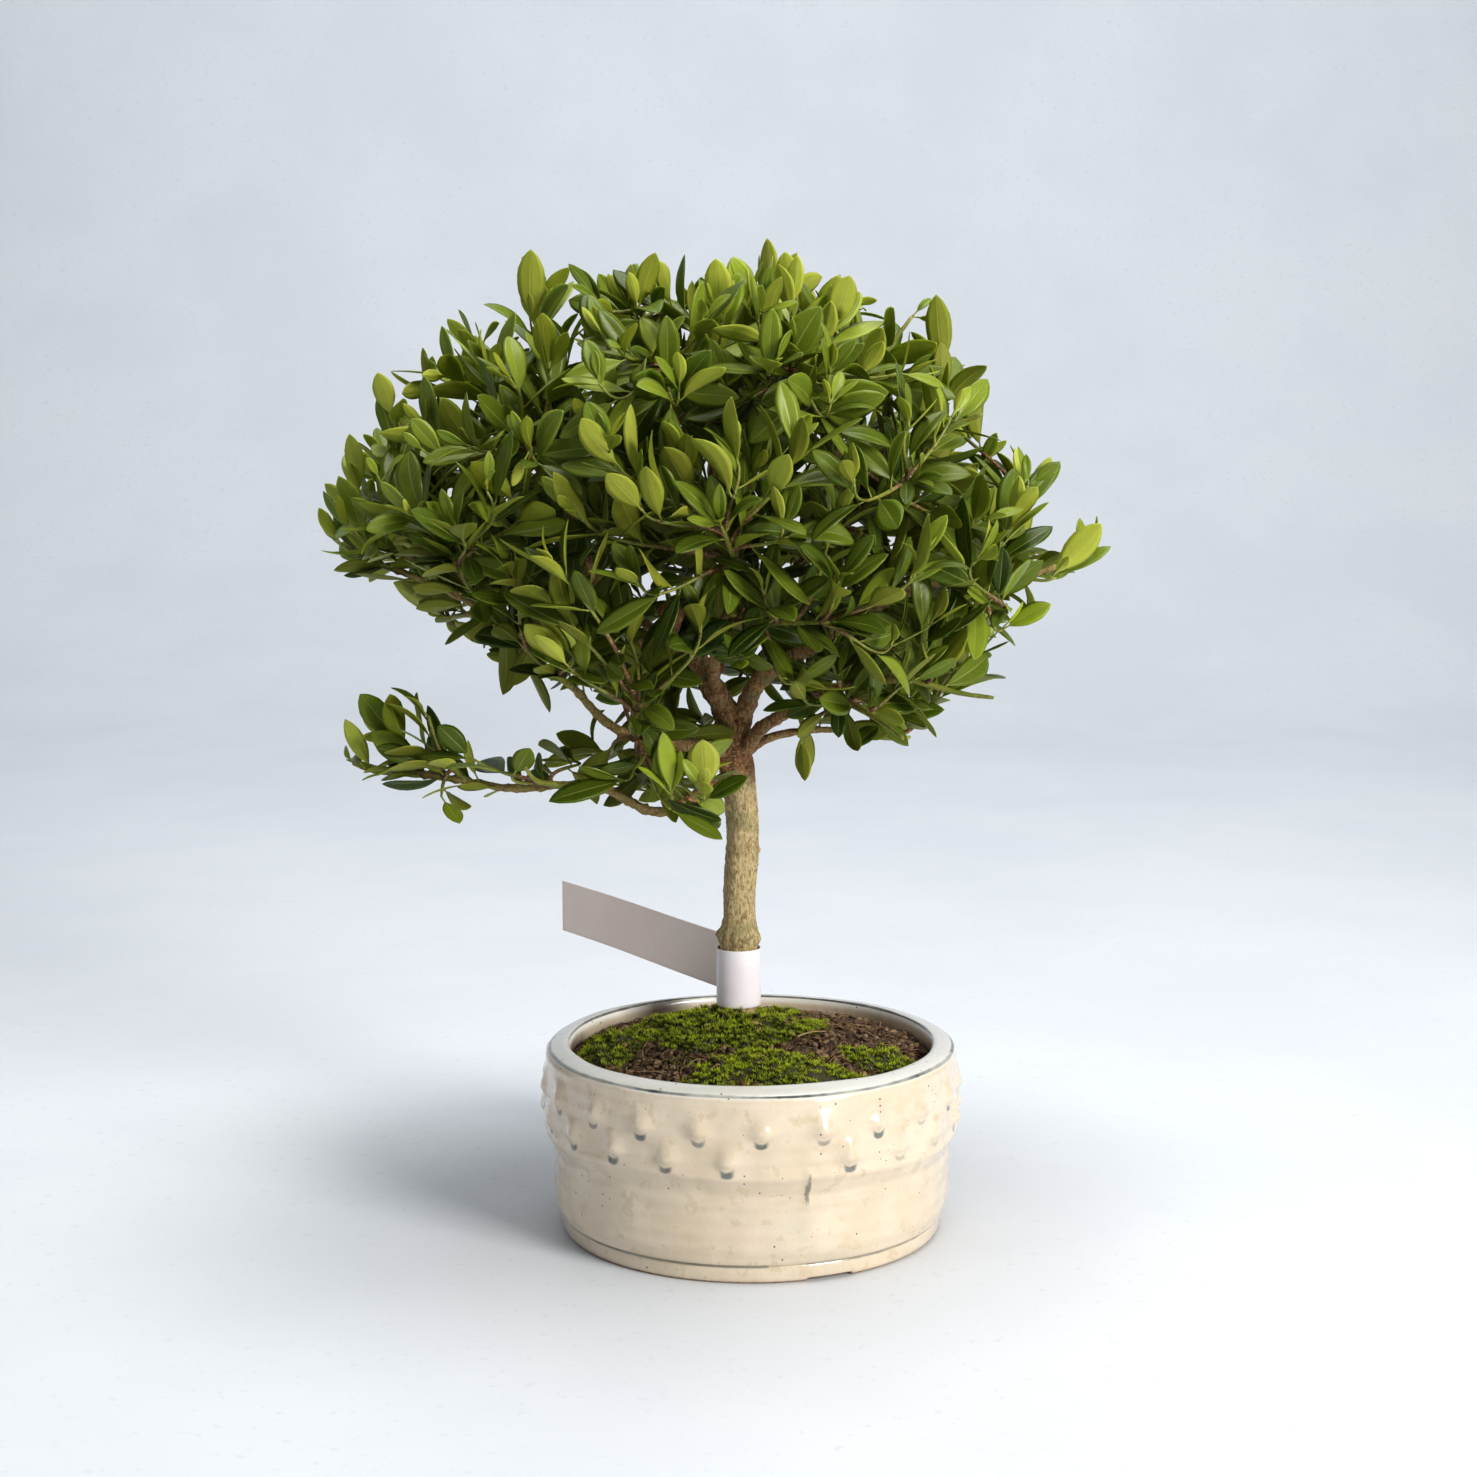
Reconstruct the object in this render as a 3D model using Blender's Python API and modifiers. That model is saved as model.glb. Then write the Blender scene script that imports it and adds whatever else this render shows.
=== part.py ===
"""A small bonsai tree in a round glazed pot, in metres, with +Z up.

The origin is the centre of the pot's underside, on the surface that the pot stands on. The tree is
seen from -Y. The pot, its drain screens, the soil, the moss and the label are turned, extruded or
lofted solids. The trunk carries limbs, and each limb carries leafy sprays: a stem with its leaves
extruded from the stem's own sides, so that a spray is one closed solid.
"""

import math
import random

import bmesh
import bpy
from mathutils import Matrix, Vector
from mathutils.bvhtree import BVHTree

# Driving dimensions
GAP = 0.0003
POT_RIM_RADIUS = 0.0868
POT_RIM_HEIGHT = 0.0788
POT_MOUTH_RADIUS = 0.0771
POT_HEIGHT = 0.0806
POT_BELLY_RADIUS = 0.0896
POT_FOOT_RADIUS = 0.0810
POT_FLOOR = 0.0095
DRAIN_RADIUS = 0.0065
DRAIN_FROM_CENTRE = 0.042
DRAIN_CHANNEL_WIDTH = 0.020
DRAIN_CHANNEL_DEPTH = 0.0016
DRAIN_AZIMUTHS = (-67, 53, 173)
SCREEN_SIDE = 0.024
SCREEN_THICKNESS = 0.0008
SCREEN_BAR = 0.0022
SOIL_CLEARANCE = 0.0008
SOIL_EDGE_HEIGHT = 0.0735
SOIL_MOUND_HEIGHT = 0.0840
TRUNK_FOOT = Vector((-0.0055, 0.024, 0.0))
LABEL_WIDTH = 0.0254
LABEL_THICKNESS = 0.00035
LABEL_BOTTOM = 0.0897
LABEL_RADIUS = 0.0090
LABEL_TURNS = 1.03
LABEL_OVERLAP = 0.0008
LABEL_TAIL = 0.180
LABEL_TAIL_AZIMUTH = math.radians(122.3)
LEAF_LENGTH = 0.027
LEAF_WIDTH = 0.0135
LEAF_THICKNESS = 0.0005
LEAF_STALK = 0.0028
LEAVES_PER_SPRAY = 10
LEAF_WIDEST = 0.52
LEAF_ARCH = 0.0012
LEAF_DROOP = 0.0010
LEAF_FOOT = 0.0007
STEM_RADIUS = 0.0013
STEM_TAPER = 0.0006
STEM_MARGIN = 2.2
STEM_CLEAR_OF_LIMB = 0.0026
STEM_FACE_REACH = 0.0016
STEM_TRIES = 60
LEAF_TRIES = 14
CROWN_LOW = Vector((-0.185, -0.130, 0.166))
CROWN_HIGH = Vector((0.150, 0.135, 0.4190))
# Below these heights no leaf grows: round the bare trunk, and left and right of it.
BARE_TRUNK_LEFT = -0.026
BARE_TRUNK_RIGHT = 0.014
BARE_TRUNK_BACK = 0.05
BARE_TRUNK_HEIGHT = 0.196
LEAVES_LEFT_FROM = 0.168
LEAVES_RIGHT_FROM = 0.190
SEED = 11

# Centre line and radius of the trunk, from the root crown in the soil to the fork.
TRUNK = [
    (-0.0055, 0.0240, 0.0520, 0.0150),
    (-0.0058, 0.0240, 0.0660, 0.0130),
    (-0.0060, 0.0240, 0.0780, 0.0095),
    (-0.0056, 0.0240, 0.0890, 0.0080),
    (-0.0055, 0.0240, 0.1130, 0.0078),
    (-0.0052, 0.0238, 0.1200, 0.0083),
    (-0.0050, 0.0235, 0.1290, 0.0071),
    (-0.0046, 0.0225, 0.1450, 0.0068),
    (-0.0036, 0.0212, 0.1630, 0.0068),
    (-0.0042, 0.0210, 0.1810, 0.0070),
    (-0.0060, 0.0205, 0.1930, 0.0078),
    (-0.0080, 0.0200, 0.2050, 0.0072),
]

# Each limb: its radius at the base and the tip, and its centre line.
LIMBS = {
    "limb_leader": (0.0058, 0.0040, [
        (-0.008, 0.020, 0.196), (-0.011, 0.018, 0.219), (-0.017, 0.015, 0.231),
        (-0.024, 0.012, 0.245), (-0.030, 0.010, 0.256), (-0.036, 0.008, 0.266)]),
    "limb_right": (0.0044, 0.0016, [
        (-0.006, 0.020, 0.196), (-0.004, 0.018, 0.216), (0.004, 0.012, 0.234),
        (0.021, 0.000, 0.247), (0.047, -0.010, 0.265), (0.075, -0.012, 0.277),
        (0.104, -0.012, 0.278), (0.126, -0.010, 0.283)]),
    "limb_lower_left": (0.0042, 0.0014, [
        (-0.006, 0.020, 0.190), (-0.017, 0.014, 0.187), (-0.030, 0.002, 0.181),
        (-0.043, -0.010, 0.181), (-0.066, -0.020, 0.193), (-0.100, -0.020, 0.192),
        (-0.130, -0.015, 0.196), (-0.150, -0.008, 0.197)]),
    "limb_left": (0.0030, 0.0015, [
        (-0.007, 0.020, 0.201), (-0.024, 0.006, 0.206), (-0.045, -0.012, 0.211),
        (-0.060, -0.024, 0.220), (-0.073, -0.034, 0.236)]),
    "limb_lower_right": (0.0032, 0.0014, [
        (-0.006, 0.020, 0.197), (0.003, 0.011, 0.212), (0.013, 0.001, 0.220),
        (0.026, -0.011, 0.229), (0.044, -0.021, 0.236), (0.066, -0.031, 0.239)]),
    "limb_right_twig": (0.0020, 0.0012, [
        (-0.005, 0.021, 0.199), (0.007, 0.025, 0.207), (0.026, 0.031, 0.210), (0.044, 0.036, 0.209)]),
    "limb_top": (0.0034, 0.0015, [
        (-0.028, 0.011, 0.252), (-0.022, 0.012, 0.272), (-0.016, 0.012, 0.294),
        (-0.016, 0.012, 0.320), (-0.007, 0.010, 0.350), (0.001, 0.010, 0.376)]),
    "limb_left_long": (0.0030, 0.0013, [
        (-0.026, 0.012, 0.247), (-0.044, 0.008, 0.249), (-0.070, -0.001, 0.252),
        (-0.103, -0.009, 0.262), (-0.130, -0.007, 0.275), (-0.152, -0.002, 0.283)]),
    "limb_left_upright": (0.0024, 0.0014, [
        (-0.055, 0.004, 0.251), (-0.064, 0.006, 0.270), (-0.071, 0.003, 0.292),
        (-0.079, 0.000, 0.318), (-0.085, 0.000, 0.350)]),
    "limb_right_upright": (0.0024, 0.0014, [
        (0.038, -0.007, 0.259), (0.036, -0.009, 0.280), (0.035, -0.010, 0.303),
        (0.035, -0.010, 0.327), (0.040, -0.009, 0.352)]),
    "limb_back": (0.0032, 0.0014, [
        (-0.018, 0.014, 0.234), (-0.012, 0.030, 0.243), (-0.002, 0.050, 0.257),
        (0.006, 0.070, 0.272), (0.010, 0.086, 0.288)]),
    "limb_back_left": (0.0026, 0.0013, [
        (-0.021, 0.013, 0.240), (-0.036, 0.028, 0.250), (-0.058, 0.044, 0.264), (-0.080, 0.058, 0.280)]),
    "limb_front": (0.0028, 0.0014, [
        (-0.015, 0.016, 0.228), (-0.016, -0.002, 0.238), (-0.014, -0.024, 0.252),
        (-0.010, -0.048, 0.268), (-0.006, -0.068, 0.286)]),
}

# Each spray: the limb it grows from, how far along that limb, and where its stem ends.
SPRAYS = [
    ("limb_top", 0.99, (0.006, 0.008, 0.3880)),
    ("limb_top", 0.86, (-0.036, -0.004, 0.392)),
    ("limb_top", 0.80, (0.040, 0.020, 0.392)),
    ("limb_top", 0.66, (-0.036, -0.044, 0.366)),
    ("limb_top", 0.60, (0.016, -0.052, 0.366)),
    ("limb_top", 0.72, (-0.014, 0.062, 0.374)),
    ("limb_left_upright", 0.98, (-0.088, 0.004, 0.392)),
    ("limb_left_upright", 0.84, (-0.124, -0.012, 0.362)),
    ("limb_left_upright", 0.60, (-0.092, -0.056, 0.338)),
    ("limb_left_upright", 0.70, (-0.086, 0.054, 0.350)),
    ("limb_left_long", 0.98, (-0.172, 0.002, 0.292)),
    ("limb_left_long", 0.78, (-0.152, 0.004, 0.326)),
    ("limb_left_long", 0.52, (-0.118, -0.056, 0.290)),
    ("limb_left_long", 0.66, (-0.134, 0.036, 0.258)),
    ("limb_left", 0.98, (-0.094, -0.046, 0.256)),
    ("limb_left", 0.55, (-0.044, -0.062, 0.232)),
    ("limb_lower_left", 0.98, (-0.168, -0.004, 0.200)),
    ("limb_lower_left", 0.80, (-0.134, -0.020, 0.222)),
    ("limb_lower_left", 0.55, (-0.092, -0.044, 0.204)),
    ("limb_right", 0.98, (0.141, -0.008, 0.290)),
    ("limb_right", 0.84, (0.116, 0.020, 0.316)),
    ("limb_right", 0.74, (0.104, -0.044, 0.268)),
    ("limb_right_upright", 0.98, (0.066, -0.006, 0.386)),
    ("limb_right_upright", 0.66, (0.094, -0.022, 0.346)),
    ("limb_right_upright", 0.40, (0.062, -0.064, 0.320)),
    ("limb_lower_right", 0.98, (0.098, -0.040, 0.232)),
    ("limb_lower_right", 0.62, (0.060, -0.062, 0.218)),
    ("limb_right_twig", 0.97, (0.070, 0.038, 0.206)),
    ("limb_back", 0.98, (0.020, 0.116, 0.306)),
    ("limb_back", 0.76, (-0.030, 0.100, 0.326)),
    ("limb_back", 0.60, (0.054, 0.078, 0.316)),
    ("limb_back_left", 0.98, (-0.112, 0.074, 0.296)),
    ("limb_right", 0.42, (0.072, 0.044, 0.292)),
    ("limb_front", 0.98, (-0.012, -0.104, 0.304)),
    ("limb_front", 0.66, (0.030, -0.082, 0.266)),
]

# Each moss cushion: its centre, its half-lengths along X and Y, and the heights of its widest and top.
MOSS = {
    "moss_centre": (-0.008, 0.008, 0.040, 0.044, 0.0785, 0.0885),
    "moss_front": (0.010, -0.049, 0.036, 0.0150, 0.0735, 0.0830),
    "moss_left": (-0.058, -0.008, 0.0150, 0.026, 0.0730, 0.0820),
    "moss_right": (0.054, -0.028, 0.0150, 0.0135, 0.0735, 0.0830),
}


def clear_scene():
    for obj in list(bpy.data.objects):
        bpy.data.objects.remove(obj, do_unlink=True)


def collection(name):
    made = bpy.data.collections.new(name)
    bpy.context.scene.collection.children.link(made)
    return made


def material(name, color, roughness):
    made = bpy.data.materials.new(name)
    made.use_nodes = True
    shader = made.node_tree.nodes["Principled BSDF"]
    shader.inputs["Base Color"].default_value = (*color, 1)
    shader.inputs["Roughness"].default_value = roughness
    shader.inputs["Metallic"].default_value = 0
    return made


def place(name, mesh, finish, folder):
    """A new object of this mesh, with this material, in this collection."""
    obj = bpy.data.objects.new(name, mesh)
    mesh.materials.clear()
    mesh.materials.append(finish)
    folder.objects.link(obj)
    return obj


def mesh_of(bm, name):
    mesh = bpy.data.meshes.new(name)
    bm.to_mesh(mesh)
    bm.free()
    return mesh


def evaluated_mesh(obj):
    graph = bpy.context.evaluated_depsgraph_get()
    return bpy.data.meshes.new_from_object(obj.evaluated_get(graph))


def largest_island(mesh):
    """Removes every loose fragment but the largest from the mesh, and turns its faces outward."""
    bm = bmesh.new()
    bm.from_mesh(mesh)
    bmesh.ops.remove_doubles(bm, verts=bm.verts, dist=0.000001)
    left = set(bm.verts)
    islands = []
    while left:
        island = set()
        front = [left.pop()]
        while front:
            vert = front.pop()
            island.add(vert)
            for edge in vert.link_edges:
                other = edge.other_vert(vert)
                if other in left:
                    left.remove(other)
                    front.append(other)
        islands.append(island)
    islands.sort(key=len)
    for island in islands[:-1]:
        bmesh.ops.delete(bm, geom=list(island), context="VERTS")
    bmesh.ops.recalc_face_normals(bm, faces=bm.faces)
    bm.to_mesh(mesh)
    bm.free()


def turned(name, profile, steps, finish, folder):
    """A solid turned about Z. The profile runs out from the axis, over the top and down the outside."""
    bm = bmesh.new()
    verts = [bm.verts.new((radius, 0, height)) for radius, height in profile]
    for start, end in zip(verts, verts[1:]):
        bm.edges.new((start, end))
    obj = place(name, mesh_of(bm, name), finish, folder)
    screw = obj.modifiers.new("turn", "SCREW")
    screw.steps = steps
    screw.render_steps = steps
    screw.use_merge_vertices = True
    screw.merge_threshold = 0.0001
    screw.use_smooth_shade = True
    return obj


def cut(obj, cutter):
    boolean = obj.modifiers.new("cut_" + cutter.name, "BOOLEAN")
    boolean.operation = "DIFFERENCE"
    boolean.solver = "EXACT"
    boolean.object = cutter


def hide_cutter(obj):
    obj.hide_render = True
    obj.display_type = "WIRE"


def smooth_path(points, per_span):
    """A Catmull-Rom curve through the points, which may carry a radius as a fourth value."""
    points = [Vector(point) for point in points]
    ends = [2 * points[0] - points[1], *points, 2 * points[-1] - points[-2]]
    path = []
    for a, b, c, d in zip(ends, ends[1:], ends[2:], ends[3:]):
        for step in range(per_span):
            t = step / per_span
            path.append(0.5 * (2 * b + (c - a) * t + (2 * a - 5 * b + 4 * c - d) * t**2
                               + (3 * b - a - 3 * c + d) * t**3))
    return [*path, points[-1]]


def along(path, fraction):
    """The point at this fraction of the path's length, and the path's direction there."""
    lengths = [(end - start).length for start, end in zip(path, path[1:])]
    wanted = fraction * sum(lengths)
    for start, end, length in zip(path, path[1:], lengths):
        if wanted <= length:
            return start.lerp(end, wanted / length), (end - start).normalized()
        wanted -= length
    return path[-1].copy(), (path[-1] - path[-2]).normalized()


def tube_mesh(name, path, radii, rounding):
    """A capped tube along the path as a closed mesh. rounding 1 gives 6 sides, 2 gives 8, 3 gives 10."""
    curve = bpy.data.curves.new(name, "CURVE")
    curve.dimensions = "3D"
    curve.bevel_depth = 1.0
    curve.bevel_resolution = rounding
    curve.use_fill_caps = True
    spline = curve.splines.new("POLY")
    spline.points.add(len(path) - 1)
    for point, co, radius in zip(spline.points, path, radii):
        point.co = (co.x, co.y, co.z, 1)
        point.radius = radius
    guide = bpy.data.objects.new(name, curve)
    bpy.context.scene.collection.objects.link(guide)
    mesh = evaluated_mesh(guide)
    bpy.data.objects.remove(guide, do_unlink=True)
    largest_island(mesh)
    return mesh


def difference(mesh, cutters):
    """The mesh with each cutter mesh taken away from it."""
    scene = bpy.context.scene.collection
    work = bpy.data.objects.new("work", mesh)
    scene.objects.link(work)
    knives = [bpy.data.objects.new("knife", knife) for knife in cutters]
    for knife in knives:
        scene.objects.link(knife)
        cut(work, knife)
    result = evaluated_mesh(work)
    for obj in (work, *knives):
        bpy.data.objects.remove(obj, do_unlink=True)
    largest_island(result)
    return result


def tree_of(mesh):
    """A search tree of a mesh's faces, with the corners of its box."""
    coords = [vert.co.copy() for vert in mesh.vertices]
    faces = [tuple(face.vertices) for face in mesh.polygons]
    return boxed_tree(coords, faces)


def boxed_tree(coords, faces):
    low = Vector([min(co[axis] for co in coords) for axis in range(3)])
    high = Vector([max(co[axis] for co in coords) for axis in range(3)])
    return low, high, BVHTree.FromPolygons(coords, faces)


def meets(one, other):
    """Whether two boxed search trees cross each other."""
    if any(one[0][axis] > other[1][axis] or other[0][axis] > one[1][axis] for axis in range(3)):
        return False
    return bool(one[2].overlap(other[2]))


def pot_profile():
    """From the middle of the inner floor up to the mouth, over the rim and down to the foot."""
    inner = [
        (0, POT_FLOOR), (0.045, POT_FLOOR), (0.0680, POT_FLOOR + 0.0010), (0.0740, 0.0165),
        (0.0765, 0.0280), (0.0780, 0.0450), (0.0780, 0.0640), (POT_MOUTH_RADIUS - 0.0006, 0.0775),
        (POT_MOUTH_RADIUS, POT_HEIGHT),
    ]
    rim = [
        (POT_RIM_RADIUS - 0.0010, POT_RIM_HEIGHT + 0.0002), (POT_RIM_RADIUS, POT_RIM_HEIGHT - 0.0006),
    ]
    body = [
        (0.0880, 0.0755), (0.0891, 0.0670), (POT_BELLY_RADIUS, 0.0580), (0.0893, 0.0495),
        (0.0884, 0.0445), (0.0868, 0.0392), (0.0854, 0.0330), (0.0847, 0.0260), (0.0849, 0.0150),
        (0.0842, 0.0110), (0.0832, 0.0088), (0.0817, 0.0074),
    ]
    foot = [(0.0815, 0.0060), (POT_FOOT_RADIUS, 0.0012), (POT_FOOT_RADIUS - 0.0012, 0), (0, 0)]
    return inner + rim + body + foot


def make_pot(finish, parts, cutters):
    """The turned bowl, with three drain holes and a shallow channel from each one to the foot's edge."""
    pot = turned("pot", pot_profile(), 48, finish, parts)
    for index, azimuth in enumerate(DRAIN_AZIMUTHS):
        turn = Matrix.Rotation(math.radians(azimuth), 4, "Z")
        bm = bmesh.new()
        bmesh.ops.create_cone(
            bm, cap_ends=True, segments=16, radius1=DRAIN_RADIUS, radius2=DRAIN_RADIUS,
            depth=4 * POT_FLOOR,
            matrix=turn @ Matrix.Translation((DRAIN_FROM_CENTRE, 0, 0)),
        )
        hole = place(f"drain_hole_{index + 1}", mesh_of(bm, "hole"), finish, cutters)
        bm = bmesh.new()
        outer = POT_BELLY_RADIUS + 0.005
        inner = DRAIN_FROM_CENTRE - 0.5 * DRAIN_CHANNEL_WIDTH
        bmesh.ops.create_cube(
            bm, size=1,
            matrix=turn @ Matrix.Translation((0.5 * (inner + outer), 0, 0))
            @ Matrix.Diagonal((outer - inner, DRAIN_CHANNEL_WIDTH, 2 * DRAIN_CHANNEL_DEPTH, 1)),
        )
        channel = place(f"drain_channel_{index + 1}", mesh_of(bm, "channel"), finish, cutters)
        for cutter in (hole, channel):
            hide_cutter(cutter)
            cut(pot, cutter)
    return pot


def make_screens(finish, parts):
    """A square of coarse plastic mesh lies over each drain hole, on the pot's floor."""
    for index, azimuth in enumerate(DRAIN_AZIMUTHS):
        bm = bmesh.new()
        bmesh.ops.create_grid(bm, x_segments=3, y_segments=3, size=0.5 * SCREEN_SIDE)
        bmesh.ops.inset_individual(bm, faces=bm.faces[:], thickness=0.5 * SCREEN_BAR)
        holes = [face for face in bm.faces if face.calc_area() > (0.2 * SCREEN_SIDE) ** 2]
        bmesh.ops.delete(bm, geom=holes, context="FACES_ONLY")
        screen = place(f"drain_screen_{index + 1}", mesh_of(bm, "screen"), finish, parts)
        angle = math.radians(azimuth)
        reach = Vector((math.cos(angle), math.sin(angle), 0)) * DRAIN_FROM_CENTRE
        screen.location = reach + Vector((0, 0, POT_FLOOR + 3 * GAP))
        screen.rotation_euler = (0, 0, angle)
        solid = screen.modifiers.new("thickness", "SOLIDIFY")
        solid.thickness = SCREEN_THICKNESS
        solid.offset = 1


def soil_profile(lift):
    """The soil's section. lift raises its top surface, for the shape that the moss is cut by."""
    floor = POT_FLOOR + SCREEN_THICKNESS + 5 * GAP
    top = [
        (0, SOIL_MOUND_HEIGHT + lift), (0.018, SOIL_MOUND_HEIGHT - 0.0002 + lift),
        (0.034, SOIL_MOUND_HEIGHT - 0.0016 + lift), (0.050, SOIL_MOUND_HEIGHT - 0.0044 + lift),
        (0.064, SOIL_EDGE_HEIGHT + 0.0022 + lift), (0.0775 - SOIL_CLEARANCE, SOIL_EDGE_HEIGHT + lift),
    ]
    side = [
        (0.0780 - SOIL_CLEARANCE, 0.0630), (0.0780 - SOIL_CLEARANCE, 0.0455),
        (0.0765 - SOIL_CLEARANCE, 0.0290), (0.0738 - SOIL_CLEARANCE, 0.0180),
        (0.0670, floor + 0.0006), (0.045, floor), (0, floor),
    ]
    return top + side


def make_label_mesh():
    """A strip that winds once round the trunk's foot and leaves it as a straight tail."""
    centre = TRUNK_FOOT
    leave = LABEL_TAIL_AZIMUTH - 0.5 * math.pi
    steps = 28
    path = []
    for step in range(steps + 1):
        share = step / steps
        angle = leave - 2 * math.pi * LABEL_TURNS * (1 - share)
        radius = LABEL_RADIUS + LABEL_OVERLAP * share
        path.append((centre.x + radius * math.cos(angle), centre.y + radius * math.sin(angle)))
    end_x, end_y = path[-1]
    for reach in (0.25, 0.5, 0.75, 1.0):
        path.append((end_x + reach * LABEL_TAIL * math.cos(LABEL_TAIL_AZIMUTH),
                     end_y + reach * LABEL_TAIL * math.sin(LABEL_TAIL_AZIMUTH)))
    curve = bpy.data.curves.new("label_path", "CURVE")
    curve.dimensions = "3D"
    curve.extrude = 0.5 * LABEL_WIDTH
    spline = curve.splines.new("POLY")
    spline.points.add(len(path) - 1)
    for point, (x, y) in zip(spline.points, path):
        point.co = (x, y, LABEL_BOTTOM + 0.5 * LABEL_WIDTH, 1)
    guide = bpy.data.objects.new("label_path", curve)
    bpy.context.scene.collection.objects.link(guide)
    solid = guide.modifiers.new("thickness", "SOLIDIFY")
    solid.thickness = LABEL_THICKNESS
    solid.offset = 0
    mesh = evaluated_mesh(guide)
    bpy.data.objects.remove(guide, do_unlink=True)
    largest_island(mesh)
    return mesh


def make_moss(finish, parts, trunk_knife):
    """Cushions that lie on the soil, cut by the soil's raised surface and by the trunk."""
    ground = turned("soil_knife", soil_profile(GAP), 32, finish, parts)
    ground_mesh = evaluated_mesh(ground)
    bpy.data.objects.remove(ground, do_unlink=True)
    for name, (x, y, half_x, half_y, low, top) in MOSS.items():
        bm = bmesh.new()
        bmesh.ops.create_uvsphere(
            bm, u_segments=14, v_segments=8, radius=1,
            matrix=Matrix.Translation((x, y, low)) @ Matrix.Diagonal((half_x, half_y, top - low, 1)),
        )
        cushion = difference(mesh_of(bm, name), [ground_mesh.copy(), trunk_knife.copy()])
        place(name, cushion, finish, parts)


def ring(centre, across, upward, half_width, half_thickness):
    """Four corners of a flat section: across by upward."""
    return [centre + sx * half_width * across + sy * half_thickness * upward
            for sx, sy in ((-1, -1), (1, -1), (1, 1), (-1, 1))]


def leaf_sections(start, out, across, scale, grown):
    """The sections of a leaf from the end of its stalk to its widest place, and its tip.

    grown thickens and widens it all round, for the test that keeps it clear of its neighbours.
    """
    upward = out.cross(across).normalized()
    length = LEAF_LENGTH * scale
    stalk = start + LEAF_STALK * out
    middle = stalk + LEAF_WIDEST * length * out + LEAF_ARCH * upward
    tip = stalk + (length + grown) * out - LEAF_DROOP * upward
    half = 0.5 * LEAF_THICKNESS + grown
    sections = [
        ring(stalk, across, upward, LEAF_FOOT + grown, half),
        ring(middle, across, upward, 0.5 * LEAF_WIDTH * scale + grown, half),
    ]
    return sections, tip


def leaf_tree(sections, tip, foot):
    """A search tree of a leaf. foot is the point where its stalk starts, or for the blade alone it is
    the middle of the blade's first section."""
    coords = [*sections[0], *sections[1], tip, foot]
    faces = []
    for side in range(4):
        following = (side + 1) % 4
        faces.append((side, following, 4 + following, 4 + side))
        faces.append((4 + side, 4 + following, 8))
        faces.append((following, side, 9))
    return boxed_tree(coords, faces)


def in_crown(point):
    """Leaves stay in the crown's own space, clear of the bare trunk and of the gap beside it."""
    if any(not CROWN_LOW[axis] < point[axis] < CROWN_HIGH[axis] for axis in range(3)):
        return False
    if BARE_TRUNK_LEFT < point.x < BARE_TRUNK_RIGHT and point.y < BARE_TRUNK_BACK:
        return point.z > BARE_TRUNK_HEIGHT
    return point.z > (LEAVES_LEFT_FROM if point.x < 0 else LEAVES_RIGHT_FROM)


def stem_frame(direction):
    """Two axes across a direction."""
    side = direction.cross(Vector((0, 0, 1)))
    if side.length < 0.1:
        side = direction.cross(Vector((0, 1, 0)))
    side.normalize()
    return side, direction.cross(side).normalized()


def extrude_section(bm, face, old, new, grow):
    """Extrudes a stem's end face from one frame to the next: a centre and two axes across."""
    old_centre, old_side, old_rise = old
    centre, side, rise = new
    made = bmesh.ops.extrude_discrete_faces(bm, faces=[face])["faces"][0]
    for vert in made.verts:
        away = vert.co - old_centre
        vert.co = centre + grow * (away.dot(old_side) * side + away.dot(old_rise) * rise)
    return made


def stem_mesh(path, radii):
    """A square-sectioned stem. Returns it with the side faces of each stretch, and its end face."""
    frames = []
    for index, centre in enumerate(path):
        nearby = path[min(index + 1, len(path) - 1)] - path[max(index - 1, 0)]
        frames.append((centre, *stem_frame(nearby.normalized())))
    bm = bmesh.new()
    bmesh.ops.create_cube(bm, size=2)
    for vert in bm.verts:
        station = 0 if vert.co.z < 0 else 1
        centre, side, rise = frames[station]
        vert.co = centre + radii[station] * (vert.co.x * side + vert.co.y * rise)
    end = max(bm.faces, key=lambda face: (face.calc_center_median() - path[0]).dot(path[1] - path[0]))
    for old, new, old_radius, new_radius in zip(frames[1:], frames[2:], radii[1:], radii[2:]):
        end = extrude_section(bm, end, old, new, new_radius / old_radius)
    return bm, end


def limb_solids(finish, parts):
    """The trunk and the limbs. Each limb's base is cut to sit against the solids before it."""
    trunk_path = smooth_path(TRUNK, 2)
    solids = {}
    paths = {"trunk": [point.to_3d() for point in trunk_path]}
    radii = {"trunk": [point.w for point in trunk_path]}
    rounding = {"trunk": 3}
    for name, (base, tip, points) in LIMBS.items():
        path = smooth_path(points, 2)
        paths[name] = path
        radii[name] = [base + (tip - base) * step / (len(path) - 1) for step in range(len(path))]
        rounding[name] = 2 if base > 0.0035 else 1
    for name, path in paths.items():
        mesh = tube_mesh(name, path, radii[name], rounding[name])
        knives = []
        for other, solid in solids.items():
            fat = tube_mesh(other, paths[other], [r + 1.5 * GAP for r in radii[other]], rounding[other])
            if meets(tree_of(mesh), tree_of(fat)):
                knives.append(fat)
        if knives:
            mesh = difference(mesh, knives)
        obj = place(name, mesh, finish, parts)
        solids[name] = obj
    fat_trunk = tube_mesh("trunk_knife", paths["trunk"], [r + GAP for r in radii["trunk"]], 3)
    return solids, paths, fat_trunk


def spray_path(root, tip):
    """A stem from the limb's centre line that leaves the limb and then rises to its tip."""
    start, heading = root
    reach = tip - start
    middle = start + 0.5 * reach + 0.10 * reach.length * heading
    middle.z -= 0.06 * reach.length
    return smooth_path([start, middle, tip], 12)


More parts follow.
